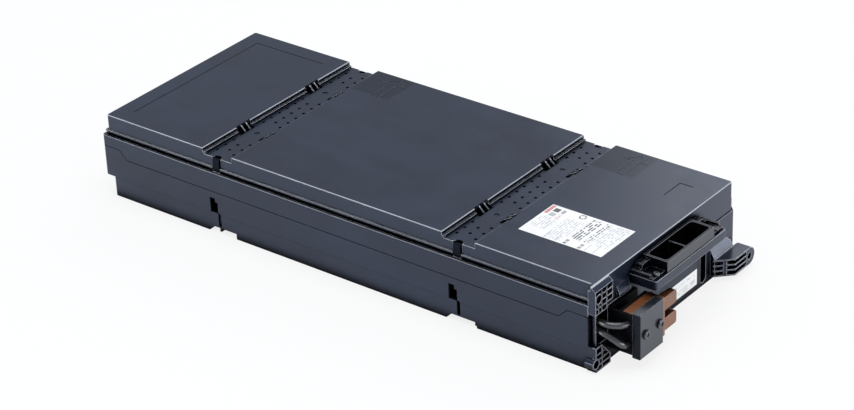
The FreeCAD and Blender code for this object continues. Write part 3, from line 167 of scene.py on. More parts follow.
# %% Hang the softboxes
def softbox(name, place, aim, width, height, radiance):
    """A rectangular soft lamp whose face shows this radiance."""
    lamp = bpy.data.lights.new(name, "AREA")
    lamp.shape = "RECTANGLE"
    lamp.size, lamp.size_y = width, height
    lamp.energy = radiance * math.pi * width * height
    hung = bpy.data.objects.new(name, lamp)
    bpy.context.scene.collection.objects.link(hung)
    faced = (Vector(aim) - Vector(place)).to_track_quat("-Z", "Y").to_matrix().to_4x4()
    hung.matrix_world = Matrix.Translation(place) @ faced
    print(name, round(lamp.energy, 1), "W")


MIDDLE, LID_MIDDLE, HANDLE_END = (0.0, 0.0, 0.06), (0.1, 0.0, 0.05), (0.29, 0.0, 0.05)
softbox("overhead_box", (0.1, -0.1, 2.4), MIDDLE, 2.0, 1.6, 3.2)
softbox("near_strip", (-1.35, -1.85, 0.18), MIDDLE, 2.4, 0.26, 12.0)
softbox("front_strip", (1.50, 1.20, 0.17), HANDLE_END, 2.2, 0.26, 6.0)
softbox("front_fill", (2.00, 0.20, 0.17), HANDLE_END, 1.2, 0.26, 7.0)
softbox("rear_box", (-0.2, 3.2, 2.1), LID_MIDDLE, 3.2, 1.9, 1.3)

world = bpy.data.worlds.new("studio_room")
world.use_nodes = True
room = world.node_tree
room.nodes.clear()
grey = add(room, "Background", {"Color": linear("E8EFFB"), "Strength": 0.58})
add(room, "OutputWorld", {"Surface": grey.outputs[0]})
bpy.context.scene.world = world
bpy.context.scene.view_settings.view_transform = "Standard"

# %% [markdown]
# ## Moulded plastic
# Nearly every outer piece is injection moulded. Its outer rims are given a paler colour, which is
# partly the smoothing and paling where they rub against the rack and partly a painted highlight
# for the glint of a rounded edge, so rims that face up get more of it. Grooves and corners are
# given painted shade. So the edges come first, then the hollows, and then the plastic itself.
# The Bevel node gives each sharp CAD edge the small radius that a mould has. Comparing its normal
# with the true one tells where the edges are, and Ambient Occlusion keeps the outer ones, which
# are in open air, and drops the inner ones, which nothing rubs. Some outer edges are left out too,
# such as those of the vents. They are named by the box that they lie in, and they get painted
# shade instead. Where the CAD has a real radius the Bevel node finds no edge, so a face just under
# a given height that looks along none of the three axes counts as a rim as well.

# %% Find the pale rims and the edges in painted shade
EDGE_TURN = (0.985, 0.86)        # cosine between the two normals, from no edge to a full one
OPEN_AIR = (0.52, 0.66)          # share of open air about a point, from inner to outer edges
AIR_REACH = 0.004
RADIUS_TURN = (0.985, 0.90)      # the normal's longest part, from a flat face to a radius
RADIUS_WEAR_AND_HIGHLIGHT = 0.52
RADIUS_BAND = (0.0013, 0.0001)   # how far below and above rounded_top its radius can lie


def inside(tree, axes, *spans):
    """1 where each axis lies in its (low, high) span, 0 elsewhere. A span of None lets all pass."""
    answer = None
    for axis, span in zip(axes, spans):
        if span is None:
            continue
        middle, half = (span[0] + span[1]) / 2, (span[1] - span[0]) / 2
        test = add(tree, "Math", {0: axis, 1: middle, 2: half}, operation="COMPARE").outputs[0]
        answer = test if answer is None else add(tree, "Math", {0: answer, 1: test},
                                                 operation="MULTIPLY").outputs[0]
    return answer


def edges(tree, axes, rounded, face, rounded_top, edge_shade_boxes):
    """Masks of pale rims (wear and painted highlight) and of shaded edges, None with no boxes."""
    turn = add(tree, "VectorMath", {0: rounded, 1: face}, operation="DOT_PRODUCT").outputs["Value"]
    rim = add(tree, "MapRange", {"Value": turn, "From Min": EDGE_TURN[0],
                                 "From Max": EDGE_TURN[1]}).outputs["Result"]
    air = add(tree, "AmbientOcclusion", {"Distance": AIR_REACH}, samples=4).outputs["AO"]
    air = add(tree, "MapRange", {"Value": air, "From Min": OPEN_AIR[0],
                                 "From Max": OPEN_AIR[1]}).outputs["Result"]
    rim = add(tree, "Math", {0: rim, 1: air}, operation="MULTIPLY").outputs[0]
    dust_and_shade = None
    # Edges inside the given boxes leave the pale rims and get painted shade instead.
    for corner, other in edge_shade_boxes:
        kept = inside(tree, axes, *zip(corner, other))
        shaded_edge = add(tree, "Math", {0: rim, 1: kept}, operation="MULTIPLY").outputs[0]
        rim = add(tree, "Math", {0: rim, 1: shaded_edge}, operation="SUBTRACT").outputs[0]
        dust_and_shade = shaded_edge if dust_and_shade is None else add(tree, "Math", {0: dust_and_shade, 1: shaded_edge},
                                               operation="MAXIMUM").outputs[0]
    if rounded_top is not None:
        looks = add(tree, "VectorMath", {0: face}, operation="ABSOLUTE").outputs["Vector"]
        looks = add(tree, "SeparateXYZ", {0: looks}).outputs
        flat = add(tree, "Math", {0: looks[0], 1: looks[1]}, operation="MAXIMUM").outputs[0]
        flat = add(tree, "Math", {0: flat, 1: looks[2]}, operation="MAXIMUM").outputs[0]
        radius = add(tree, "MapRange", {"Value": flat, "From Min": RADIUS_TURN[0],
                                        "From Max": RADIUS_TURN[1],
                                        "To Max": RADIUS_WEAR_AND_HIGHLIGHT}).outputs["Result"]
        near_top = inside(tree, axes[2:], (rounded_top - RADIUS_BAND[0],
                                           rounded_top + RADIUS_BAND[1]))
        radius = add(tree, "Math", {0: radius, 1: near_top}, operation="MULTIPLY").outputs[0]
        rim = add(tree, "Math", {0: rim, 1: radius}, operation="MAXIMUM").outputs[0]
    # Rims that face up get more of the pale colour than rims that face down: painted light from
    # above.
    upward = add(tree, "SeparateXYZ", {0: rounded}).outputs[2]
    painted_top_light = add(tree, "MapRange", {"Value": upward, "From Min": -0.2, "From Max": 0.45,
                                  "To Min": 0.7}).outputs["Result"]
    return add(tree, "Math", {0: rim, 1: painted_top_light}, operation="MULTIPLY").outputs[0], dust_and_shade


print("an edge shows from a turn of %.0f degrees and is full at %.0f"
      % tuple(math.degrees(math.acos(cosine)) for cosine in EDGE_TURN))

# %% [markdown]
# ### Hollows
# Grooves and corners are given painted shade: a darker colour and nearly no gloss, so the room
# is hardly mirrored there. It comes on top of the shade that a path tracer gives a deep corner by
# itself. Ambient Occlusion over a longer way tells how much open sky a point has, and that sets
# how much painted shade the point gets.

# %% Shade the hollows
OPEN_SKY = (0.86, 0.56)          # share of open sky, from a free face to a deep corner
SKY_REACH = 0.015
# Colour and gloss of the painted shade in hollows and on shaded edges.
HOLLOW_SHADE_COLOUR, HOLLOW_GLOSS = "05060A", 0.03
EDGE_SHADE_DEPTH = 0.6


def hollows(tree, rim, dust_and_shade):
    """How much painted shade a point gets, from 0 to 1. Rims stay out and shaded edges count in."""
    sky = add(tree, "AmbientOcclusion", {"Distance": SKY_REACH}, samples=10).outputs["AO"]
    hollow_shade = add(tree, "MapRange", {"Value": sky, "From Min": OPEN_SKY[0],
                                  "From Max": OPEN_SKY[1]}).outputs["Result"]
    off_rim = add(tree, "Math", {0: 1.0, 1: rim}, operation="SUBTRACT").outputs[0]
    hollow_shade = add(tree, "Math", {0: hollow_shade, 1: off_rim}, operation="MULTIPLY").outputs[0]
    if dust_and_shade is not None:
        shaded_edge = add(tree, "Math", {0: dust_and_shade, 1: EDGE_SHADE_DEPTH}, operation="MULTIPLY").outputs[0]
        hollow_shade = add(tree, "Math", {0: hollow_shade, 1: shaded_edge}, operation="MAXIMUM").outputs[0]
    return hollow_shade


print("hollows are felt over", SKY_REACH * 1000, "mm")

# %% [markdown]
# ### The plastic
# A steel mould is spark eroded, which leaves a fine pebbled skin on the part, so highlights are
# wide and quiet. Slow bands run where the melt flowed, and handling leaves a slight unevenness. A
# spark-eroded grain is about 0.15 mm across. That is too fine to show from two metres, so it is
# drawn several times as coarse. A tool is often polished in one place and left coarse in another,
# so parts of a piece can be given less gloss: named patches, or all that looks upward. The named
# patches also take a darker colour, which on some pieces is painted shade.

# %% Define the moulded finish
REAL_GRAIN, DRAWN_GRAIN = 0.00015, 0.0009
PEBBLE_DEPTH = 0.00003
# The darker colour of the named patches: a matt skin on the lid, painted shade elsewhere.
PATCH_COLOUR = "11151E"
UPWARD = (0.90, 0.99)            # height of the normal, from leaning to level faces


def moulded(name, body, pale, worn_and_highlight, roughness, grain=DRAWN_GRAIN, specular=0.5, edge=0.0006,
            gloss_tint="FFFFFF", top_gloss=None, rounded_top=None, edge_shade_boxes=(), patches=()):
    """Injection-moulded plastic.
    top_gloss: the share of the gloss that faces turned upward keep.
    rounded_top: the height under which real radii get the pale rims (wear and painted highlight).
    edge_shade_boxes: boxes (low corner, high corner) where edges get painted shade, not pale rims.
    patches: areas with a darker colour and less gloss (x span, y span, z span, share of the gloss
    kept); on some pieces the darker colour is painted shade."""
    finish, tree = start_finish(name)
    place = add(tree, "TexCoord", {}).outputs["Object"]
    axes = add(tree, "SeparateXYZ", {0: place}).outputs
    skin = add(tree, "TexNoise", {"Vector": place, "Scale": 1 / grain, "Detail": 2.0,
                                  "Roughness": 0.55}).outputs["Fac"]
    # Melt bands are 200 mm long and 38 mm wide, and the traces of hands 45 mm across.
    along = add(tree, "Mapping", {"Vector": place, "Scale": (5.0, 26.0, 26.0)}).outputs[0]
    melt = add(tree, "TexNoise", {"Vector": along, "Scale": 1.0, "Detail": 4.0,
                                  "Distortion": 0.6}).outputs["Fac"]
    handled = add(tree, "TexNoise", {"Vector": place, "Scale": 22.0, "Detail": 5.0,
                                     "Roughness": 0.6}).outputs["Fac"]

    rounded = add(tree, "Bevel", {"Radius": edge}, samples=4).outputs["Normal"]
    face = add(tree, "NewGeometry", {}).outputs["Normal"]
    rim, dust_and_shade = edges(tree, axes, rounded, face, rounded_top, edge_shade_boxes)
    hollow_shade = hollows(tree, rim, dust_and_shade)
    # Rims get the pale colour: partly wear, partly a painted highlight for an edge's glint.
    rim_variation = add(tree, "MapRange", {"Value": handled, "From Min": 0.35, "From Max": 0.62,
                                 "To Min": 0.75}).outputs["Result"]
    wear_and_highlight = add(tree, "Math", {0: rim, 1: rim_variation}, operation="MULTIPLY").outputs[0]

    gloss = add(tree, "MapRange", {"Value": hollow_shade, "To Min": specular,
                                   "To Max": HOLLOW_GLOSS}).outputs["Result"]
    if top_gloss is not None:
        level = add(tree, "SeparateXYZ", {0: rounded}).outputs[2]
        kept = add(tree, "MapRange", {"Value": level, "From Min": UPWARD[0], "From Max": UPWARD[1],
                                      "To Min": 1.0, "To Max": top_gloss}).outputs["Result"]
        gloss = add(tree, "Math", {0: gloss, 1: kept}, operation="MULTIPLY").outputs[0]
    blend = add(tree, "Math", {0: melt, 1: handled}, operation="MULTIPLY").outputs[0]
    blend = add(tree, "MapRange", {"Value": blend, "From Min": 0.15,
                                   "From Max": 0.36}).outputs["Result"]
    colour = add(tree, "Mix", {0: blend, 6: linear(body), 7: linear(pale)},
                 data_type="RGBA").outputs[2]
    for across_x, across_y, across_z, share in patches:
        patch = inside(tree, axes, across_x, across_y, across_z)
        colour = add(tree, "Mix", {0: patch, 6: colour, 7: linear(PATCH_COLOUR)},
                     data_type="RGBA").outputs[2]
        quiet = add(tree, "Math", {0: gloss, 1: share}, operation="MULTIPLY").outputs[0]
        gloss = add(tree, "Mix", {0: patch, 2: gloss, 3: quiet}, data_type="FLOAT").outputs[0]
    # Painted shade in hollows and on shaded edges.
    colour = add(tree, "Mix", {0: hollow_shade, 6: colour, 7: linear(HOLLOW_SHADE_COLOUR)},
                 data_type="RGBA").outputs[2]
    # Pale rims: wear and painted highlight.
    colour = add(tree, "Mix", {0: wear_and_highlight, 6: colour, 7: linear(worn_and_highlight)}, data_type="RGBA").outputs[2]

    dull = add(tree, "MapRange", {"Value": handled, "From Min": 0.3, "From Max": 0.7,
                                  "To Min": roughness - 0.05,
                                  "To Max": roughness + 0.06}).outputs["Result"]
    dull = add(tree, "Mix", {0: wear_and_highlight, 2: dull, 3: roughness - 0.12}, data_type="FLOAT").outputs[0]
    pebble = add(tree, "Bump", {"Height": skin, "Normal": rounded, "Strength": 0.55,
                                "Distance": PEBBLE_DEPTH}).outputs[0]
    plastic = add(tree, "BsdfPrincipled", {"Base Color": colour, "Roughness": dull,
                                           "Normal": pebble, "IOR": 1.54,
                                           "Specular IOR Level": gloss,
                                           "Specular Tint": linear(gloss_tint)})
    # An exported model has no map for the specular level, so the socket holds its plain value too.
    plastic.inputs["Specular IOR Level"].default_value = specular
    add(tree, "OutputMaterial", {"Surface": plastic.outputs[0]})
    return finish


print("the grain is drawn", round(DRAWN_GRAIN / REAL_GRAIN), "times as coarse as a real one")

# %% [markdown]
# ### Tray and lid
# Both are flame-retardant ABS in a dark slate grey. The dye is cool and deep, so what the eye
# gets is mostly the pale room on a blue-black ground. The lid was moulded in another tool with a
# slightly finer skin, and two squares of it, where the direction arrows stand, were left matt. The
# tray's snap fingers are given a darker colour and less gloss, which is painted shade for their
# recess. Nothing rubs the walls below the tray's rim, nor the floors of the lid's channels or the
# middle of its panels, and they get no painted highlight either; there the edges of the vents,
# slits and grooves are given painted shade.

# %% Dress the tray and the lid
tray_low, tray_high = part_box("tray")
lid_low, lid_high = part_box("lid")

FINGER_Z = (0.0655, 0.0850)
FINGERS = [(x - 0.0045, x + 0.0045) for x in (-0.1427, 0.1383)]
RIM_FOOT, FRONT_WALL = 0.0537, 0.004
# Edges in these boxes get painted shade instead of pale rims.
edge_shade_walls = ((tray_low.x, tray_low.y, 0.0), (lid_high.x - FRONT_WALL, tray_high.y, RIM_FOOT))
edge_shade_fingers = [((x0, tray_low.y, FINGER_Z[0]), (x1, tray_high.y, FINGER_Z[1]))
                 for x0, x1 in FINGERS]
# The patches on the snap fingers are painted shade for their recess.
tray_abs = moulded("slate_abs_tray", "161A24", "1D2230", "F2F4F8", roughness=0.22, grain=0.0010,
                   specular=0.55, edge=0.0009, gloss_tint="D4E2FF",
                   edge_shade_boxes=[edge_shade_walls] + edge_shade_fingers,
                   patches=[(span, None, FINGER_Z, 0.10) for span in FINGERS])

CHANNEL_END = 0.106
# Edges in these boxes get painted shade instead of pale rims.
edge_shade_channels = ((lid_low.x, -CHANNEL_END, lid_high.z - 0.0065),
                  (lid_high.x, CHANNEL_END, lid_high.z - 0.0051))
edge_shade_panels = ((lid_low.x, lid_low.y, lid_high.z - 0.0006),
                (lid_high.x, lid_high.y, lid_high.z + 0.0003))
MATT_SQUARES = [((x - 0.024, x + 0.024), (0.064, 0.109), None, 0.8) for x in (-0.100, 0.181)]
lid_abs = moulded("slate_abs_lid", "181D28", "1F2534", "F2F4F8", roughness=0.22, grain=0.0008,
                  specular=0.58, edge=0.0009, gloss_tint="D4E2FF", rounded_top=lid_high.z,
                  edge_shade_boxes=(edge_shade_channels, edge_shade_panels), patches=MATT_SQUARES)
dress(tray_abs, "tray")
dress(lid_abs, "lid")

# %% [markdown]
# ### Handle, bracket and connector cover
# These are separate mouldings in a neutral black. The handle and the bracket are glass-filled
# nylon, which is stiffer than ABS. The handle is polished outside and coarse on top for the hand,
# so it shines on its flanks and is nearly black from above. The bracket has a dry skin all over.
# The connector's cover is smooth ABS that catches more light. Its near end face is given a darker
# colour, which is painted shade, and less gloss.

# %% Dress the black mouldings
cover_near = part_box("connector_cover")[0].y
handle_nylon = moulded("black_nylon_handle", "08090B", "0E0F12", "9EA2A9", roughness=0.22,
                       specular=0.95, gloss_tint="E8EEFA", top_gloss=0.25)
bracket_nylon = moulded("black_nylon_bracket", "08090B", "0D0E10", "26282B", roughness=0.48,
                        grain=0.0010, specular=0.05)
# The patch on the cover's near end face is painted shade.
cover_abs = moulded("black_abs_cover", "14161A", "1C1E23", "B4B8BE", roughness=0.22, grain=0.0008,
                    specular=0.95, gloss_tint="E8EEFA",
                    patches=[(None, (cover_near - 0.0001, cover_near + 0.0003), None, 0.15)])
dress(handle_nylon, "pull_handle")
dress(bracket_nylon, "connector_bracket")
dress(cover_abs, "connector_cover")

# %% [markdown]
# ### Connector housing
# Power connectors are moulded in polycarbonate, keyed by colour so that only like mates with
# like. This one is chocolate brown. The body colour is warm and dark, and its smoother skin takes
# a pale sheen on the faces turned to the light.

# %% Dress the connector housing
housing_pc = moulded("brown_polycarbonate", "683C20", "78482A", "C8A48A", roughness=0.26,
                     grain=0.0008, specular=0.85, gloss_tint="FFF4EC")
dress(housing_pc, "connector_housing")

# %% [markdown]
# ## Metals
# Metals have no body colour under the gloss: the base colour is the reflection, so metallic is
# one and the IOR stays at its default. Plating is even but never perfect, and a slow noise moves
# its roughness, while fine lines across the piece show how it was drawn or stamped.

# %% Define the metal finish
LINE_PITCH = 0.0006


def metal(name, bright, dim, roughness, line_axis):
    """Drawn, stamped or plated metal with fine lines across line_axis (0, 1 or 2)."""
    finish, tree = start_finish(name)
    place = add(tree, "TexCoord", {}).outputs["Object"]
    # A drawn line runs on for 25 mm, and tarnish changes every 6 mm.
    stretch = [40.0, 40.0, 40.0]
    stretch[line_axis] = 1 / LINE_PITCH
    drawn = add(tree, "Mapping", {"Vector": place, "Scale": tuple(stretch)}).outputs[0]
    lines = add(tree, "TexNoise", {"Vector": drawn, "Scale": 1.0, "Detail": 2.0}).outputs["Fac"]
    tarnish = add(tree, "TexNoise", {"Vector": place, "Scale": 160.0,
                                     "Detail": 4.0}).outputs["Fac"]
    tone = add(tree, "MapRange", {"Value": tarnish, "From Min": 0.35,
                                  "From Max": 0.65}).outputs["Result"]
    colour = add(tree, "Mix", {0: tone, 6: linear(bright), 7: linear(dim)},
                 data_type="RGBA").outputs[2]
    dull = add(tree, "MapRange", {"Value": tarnish, "To Min": roughness - 0.08,
                                  "To Max": roughness + 0.12}).outputs["Result"]
    rounded = add(tree, "Bevel", {"Radius": 0.00025}, samples=4).outputs["Normal"]
    scratch = add(tree, "Bump", {"Height": lines, "Normal": rounded, "Strength": 0.25,
                                 "Distance": 0.00003}).outputs[0]
    plate = add(tree, "BsdfPrincipled", {"Base Color": colour, "Roughness": dull,
                                         "Metallic": 1.0, "Normal": scratch})
    add(tree, "OutputMaterial", {"Surface": plate.outputs[0]})
    return finish


print("drawn lines stand", LINE_PITCH * 1000, "mm apart")

# %% [markdown]
# ### Screws, contacts and terminals
# The screws are steel with a black oxide skin, which is thin and keeps a dark metallic shine. The
# contacts are silver-plated copper, warm and bright, and the blade terminals are tinned brass, a
# softer grey. Two colours of each are enough, one bright and one where it has tarnished.

# %% Dress the screws, contacts and terminals
black_steel = metal("black_oxide_steel", "6E7074", "4A4C50", 0.20, 2)
silver = metal("silver_plated_copper", "E6E4DE", "C9C4B8", 0.22, 1)
tinned = metal("tinned_brass", "C9CACB", "A9A79F", 0.32, 2)
dress(black_steel, "handle_screws", "clamp_screws")
dress(silver, "connector_contacts")
dress(tinned, "cell_tabs")

# %% [markdown]
# ## Leads and links
# The leads have a soft black PVC jacket. Extruded PVC is smoother than a moulding, with faint
# rings where the die pulsed and a slight orange-peel, so it shows a sharper light along its
# length. The links between the blocks use the same wire in red.

# %% Define and use the extruded jacket
PEEL = 0.0035       # from one ripple of the orange-peel to the next


def jacket(name, body, pale, roughness):
    """Extruded PVC insulation."""
    finish, tree = start_finish(name)
    place = add(tree, "TexCoord", {}).outputs["Object"]
    peel = add(tree, "TexNoise", {"Vector": place, "Scale": 1 / PEEL, "Detail": 3.0,
                                  "Distortion": 0.8}).outputs["Fac"]
    # Dust lies in patches of about 17 mm.
    dust_and_shade = add(tree, "TexNoise", {"Vector": place, "Scale": 60.0, "Detail": 5.0}).outputs["Fac"]
    tone = add(tree, "MapRange", {"Value": dust_and_shade, "From Min": 0.4,
                                  "From Max": 0.68}).outputs["Result"]
    colour = add(tree, "Mix", {0: tone, 6: linear(body), 7: linear(pale)},
                 data_type="RGBA").outputs[2]
    dull = add(tree, "MapRange", {"Value": dust_and_shade, "To Min": roughness - 0.06,
                                  "To Max": roughness + 0.10}).outputs["Result"]
    wavy = add(tree, "Bump", {"Height": peel, "Strength": 0.35, "Distance": 0.0002}).outputs[0]
    pvc = add(tree, "BsdfPrincipled", {"Base Color": colour, "Roughness": dull, "Normal": wavy,
                                       "IOR": 1.53, "Specular IOR Level": 1.0})
    add(tree, "OutputMaterial", {"Surface": pvc.outputs[0]})
    return finish


lead_pvc = jacket("black_pvc_jacket", "1C1D20", "2A2C30", 0.24)
link_pvc = jacket("red_pvc_jacket", "8E1B16", "A3302A", 0.32)
dress(lead_pvc, "positive_lead", "negative_lead")
dress(link_pvc, "link_rear_near", "link_rear_far", "link_front_near", "link_front_far",
      "fused_link")

# %% [markdown]
# ### Straps
# The flat straps wear a braided glass sleeve: two sets of threads at forty-five degrees. Two wave
# textures turned against each other give that at the real thread spacing of about one millimetre,
# because a wave texture repeats every tau / 20 of its own units.

# %% Dress the straps in a braided sleeve
WAVE_SCALE = 300.0  # 1.05 mm from thread to thread
braid, tree = start_finish("braided_glass_sleeve")
place = add(tree, "TexCoord", {}).outputs["Object"]
threads = []
for turn in (45, -45):
    angled = add(tree, "Mapping", {"Vector": place,
                                   "Rotation": (0, 0, math.radians(turn))}).outputs[0]
    threads.append(add(tree, "TexWave", {"Vector": angled, "Scale": WAVE_SCALE,
                                         "Distortion": 0.3}, wave_type="BANDS").outputs["Fac"])
over = add(tree, "Math", {0: threads[0], 1: threads[1]}, operation="MAXIMUM").outputs[0]
colour = add(tree, "Mix", {0: over, 6: linear("14181C"), 7: linear("3A4048")},
             data_type="RGBA").outputs[2]
woven = add(tree, "Bump", {"Height": over, "Strength": 0.6, "Distance": 0.0003}).outputs[0]
sleeve = add(tree, "BsdfPrincipled", {"Base Color": colour, "Roughness": 0.6, "Normal": woven})
add(tree, "OutputMaterial", {"Surface": sleeve.outputs[0]})
dress(braid, "bridge_strap_near", "bridge_strap_far")
print("threads stand", round(math.tau / 20 / WAVE_SCALE * 1000, 2), "mm apart")

# %% [markdown]
# ## Inside the case
# The eight blocks are plain black ABS boxes with a welded lid, and the fuse is a glazed ceramic
# tube, slightly specked by the clay under the glaze. They are shut in, but each gets the finish
# that it would show on the bench.

# %% Dress the blocks and the fuse
cell_abs = moulded("black_abs_block", "1B1C1F", "232528", "4A4C50", roughness=0.42, grain=0.0012)
dress(cell_abs, *["cell_%s_%s" % (row, side) for row in ("rear", "mid_rear", "mid_front", "front")
                  for side in ("near", "far")])

glaze, tree = start_finish("glazed_ceramic")
place = add(tree, "TexCoord", {}).outputs["Object"]
# The specks of clay are about 1.1 mm across.
specks = add(tree, "TexNoise", {"Vector": place, "Scale": 900.0, "Detail": 3.0}).outputs["Fac"]
tone = add(tree, "MapRange", {"Value": specks, "From Min": 0.45, "From Max": 0.7}).outputs["Result"]
colour = add(tree, "Mix", {0: tone, 6: linear("E9E5DA"), 7: linear("D2CBBB")},
             data_type="RGBA").outputs[2]
pool = add(tree, "Bump", {"Height": specks, "Strength": 0.15, "Distance": 0.0001}).outputs[0]
ceramic = add(tree, "BsdfPrincipled", {"Base Color": colour, "Roughness": 0.18, "IOR": 1.52,
                                       "Normal": pool})
add(tree, "OutputMaterial", {"Surface": ceramic.outputs[0]})
dress(glaze, "string_fuse")

# %% [markdown]
# ## Foam strips
# Closed-cell foam strips hold the blocks down under the lid. The foam is a froth of bubbles a
# little over a millimetre across, skinned over where it was sliced. Voronoi cells draw exactly
# that: each cell is one bubble, and its distance field is the dent.

# %% Dress the foam strips
BUBBLES_PER_METRE = 700.0  # 1.4 mm each
foam, tree = start_finish("closed_cell_foam")
place = add(tree, "TexCoord", {}).outputs["Object"]
bubbles = add(tree, "TexVoronoi", {"Vector": place,
                                   "Scale": BUBBLES_PER_METRE}).outputs["Distance"]
tone = add(tree, "MapRange", {"Value": bubbles, "From Max": 0.7}).outputs["Result"]
colour = add(tree, "Mix", {0: tone, 6: linear("26272A"), 7: linear("3C3E42")},
             data_type="RGBA").outputs[2]
dents = add(tree, "Bump", {"Height": bubbles, "Strength": 0.6, "Distance": 0.0004}).outputs[0]
froth = add(tree, "BsdfPrincipled", {"Base Color": colour, "Roughness": 0.85, "Normal": dents})
add(tree, "OutputMaterial", {"Surface": froth.outputs[0]})
dress(foam, "foam_pads_rear", "foam_pads_middle", "foam_pads_front")

# %% [markdown]
# ## Labels
# A label is white vinyl film with a thin print. It says nothing here: the print is kept to rows
# of short bars where the lines of text would be, and a few plain fields of colour.
# The distance down the label, divided by the line pitch, gives two things: its fraction draws a
# bar for each line, and its whole part is the line's number. A noise that runs along the line and
# jumps from one number to the next is then cut at a threshold, once slowly for the words and once
# fast for the breaks in them. Real print of this kind has a pitch of about 1.5 mm. That would
# melt into one grey at this distance, so the lines stand 2.7 mm apart.

# %% Lay out rows of words
PRINT_PITCH = 2.7                        # in millimetres, as are all the label's own measures
BAR_HALF = 0.26                          # half the height of a bar, as a share of the pitch
LINE_JUMP = 5.3                          # how far the noise moves on from line to line
WORD_CUTS = ((0.34, 0.43), (1.3, 0.36))  # how often the noise changes per mm, and its threshold


def word_rows(tree, a, d):
    """1 on short bars in rows, at a across and d down the label."""
    line = add(tree, "Math", {0: d, 1: PRINT_PITCH}, operation="DIVIDE").outputs[0]
    number = add(tree, "Math", {0: line}, operation="FLOOR").outputs[0]
    within = add(tree, "Math", {0: line}, operation="FRACT").outputs[0]
    words = add(tree, "Math", {0: within, 1: 0.5, 2: BAR_HALF}, operation="COMPARE").outputs[0]
    jump = add(tree, "Math", {0: number, 1: LINE_JUMP}, operation="MULTIPLY").outputs[0]
    for often, threshold in WORD_CUTS:
        along = add(tree, "Math", {0: a, 1: often}, operation="MULTIPLY").outputs[0]
        spot = add(tree, "CombineXYZ", {0: along, 1: jump}).outputs[0]
        mark = add(tree, "TexNoise", {"Vector": spot, "Scale": 1.0, "Detail": 0.0}).outputs["Fac"]
        mark = add(tree, "Math", {0: mark, 1: threshold}, operation="GREATER_THAN").outputs[0]
        words = add(tree, "Math", {0: words, 1: mark}, operation="MULTIPLY").outputs[0]
    return words


print("lines of print stand", PRINT_PITCH, "mm apart")

# %% [markdown]
# ### The film
# Vinyl is smoother than paper and a little soft to the light. The print has no height, so it is
# colour alone: the white is mixed with one ink after another, each inside its own area of the
# sheet. Areas are written in the label's own millimetres, as on a printer's layout.

# %% Define the printed film
def printed_film(name, across, down, blocks, fields, rings=()):
    """White vinyl. across and down are (axis, start, sign) of the label's own millimetres.
    blocks: areas of word rows (from a, to a, from d, to d, ink, strength).
    fields: plain areas, written in the same way.
    rings: circles (a, d, radius, stroke, ink)."""
    finish, tree = start_finish(name)
    place = add(tree, "TexCoord", {}).outputs["Object"]
    axes = add(tree, "SeparateXYZ", {0: place}).outputs
    local = []
    for axis, start, sign in (across, down):
        moved = add(tree, "Math", {0: axes[axis], 1: start}, operation="SUBTRACT").outputs[0]
        local.append(add(tree, "Math", {0: moved, 1: 1000.0 * sign},
                         operation="MULTIPLY").outputs[0])
    sheet = add(tree, "CombineXYZ", {0: local[0], 1: local[1]}).outputs[0]
    words = word_rows(tree, *local)

    # The film's tooth is 0.4 mm across, and soil changes every 22 mm.
    tooth = add(tree, "TexNoise", {"Vector": place, "Scale": 2500.0, "Detail": 2.0}).outputs["Fac"]
    soil = add(tree, "TexNoise", {"Vector": place, "Scale": 45.0, "Detail": 4.0}).outputs["Fac"]
    soil = add(tree, "MapRange", {"Value": soil, "From Min": 0.45,
                                  "From Max": 0.75}).outputs["Result"]
    colour = add(tree, "Mix", {0: soil, 6: linear("F7F6F4"), 7: linear("EEEDEB")},
                 data_type="RGBA").outputs[2]
    for written, areas in ((True, blocks), (False, fields)):
        for a0, a1, d0, d1, ink, strength in areas:
            inked = inside(tree, local, (a0, a1), (d0, d1))
            if written:
                inked = add(tree, "Math", {0: inked, 1: words}, operation="MULTIPLY").outputs[0]
            inked = add(tree, "Math", {0: inked, 1: strength}, operation="MULTIPLY").outputs[0]
            colour = add(tree, "Mix", {0: inked, 6: colour, 7: linear(ink)},
                         data_type="RGBA").outputs[2]
    for a, d, radius, stroke, ink in rings:
        reach = add(tree, "VectorMath", {0: sheet, 1: (a, d, 0)},
                    operation="DISTANCE").outputs["Value"]
        inked = add(tree, "Math", {0: reach, 1: radius, 2: stroke / 2},
                    operation="COMPARE").outputs[0]
        colour = add(tree, "Mix", {0: inked, 6: colour, 7: linear(ink)},
                     data_type="RGBA").outputs[2]
    grainy = add(tree, "Bump", {"Height": tooth, "Strength": 0.2, "Distance": 0.00002}).outputs[0]
    dull = add(tree, "MapRange", {"Value": soil, "To Min": 0.42, "To Max": 0.55}).outputs["Result"]
    film = add(tree, "BsdfPrincipled", {"Base Color": colour, "Roughness": dull, "Normal": grainy,
                                        "IOR": 1.5, "Specular IOR Level": 0.4})
    add(tree, "OutputMaterial", {"Surface": film.outputs[0]})
    return finish


# %% [markdown]
# ### The two labels
# The large label lies on the front panel of the lid and faces whoever stands at the handle: its
# rows run along Y and follow each other along X. The small one is on the front wall, beside the
# connector. Grey rows, ruled lines and small boxes keep the rhythm of a data sheet without saying
# a word.

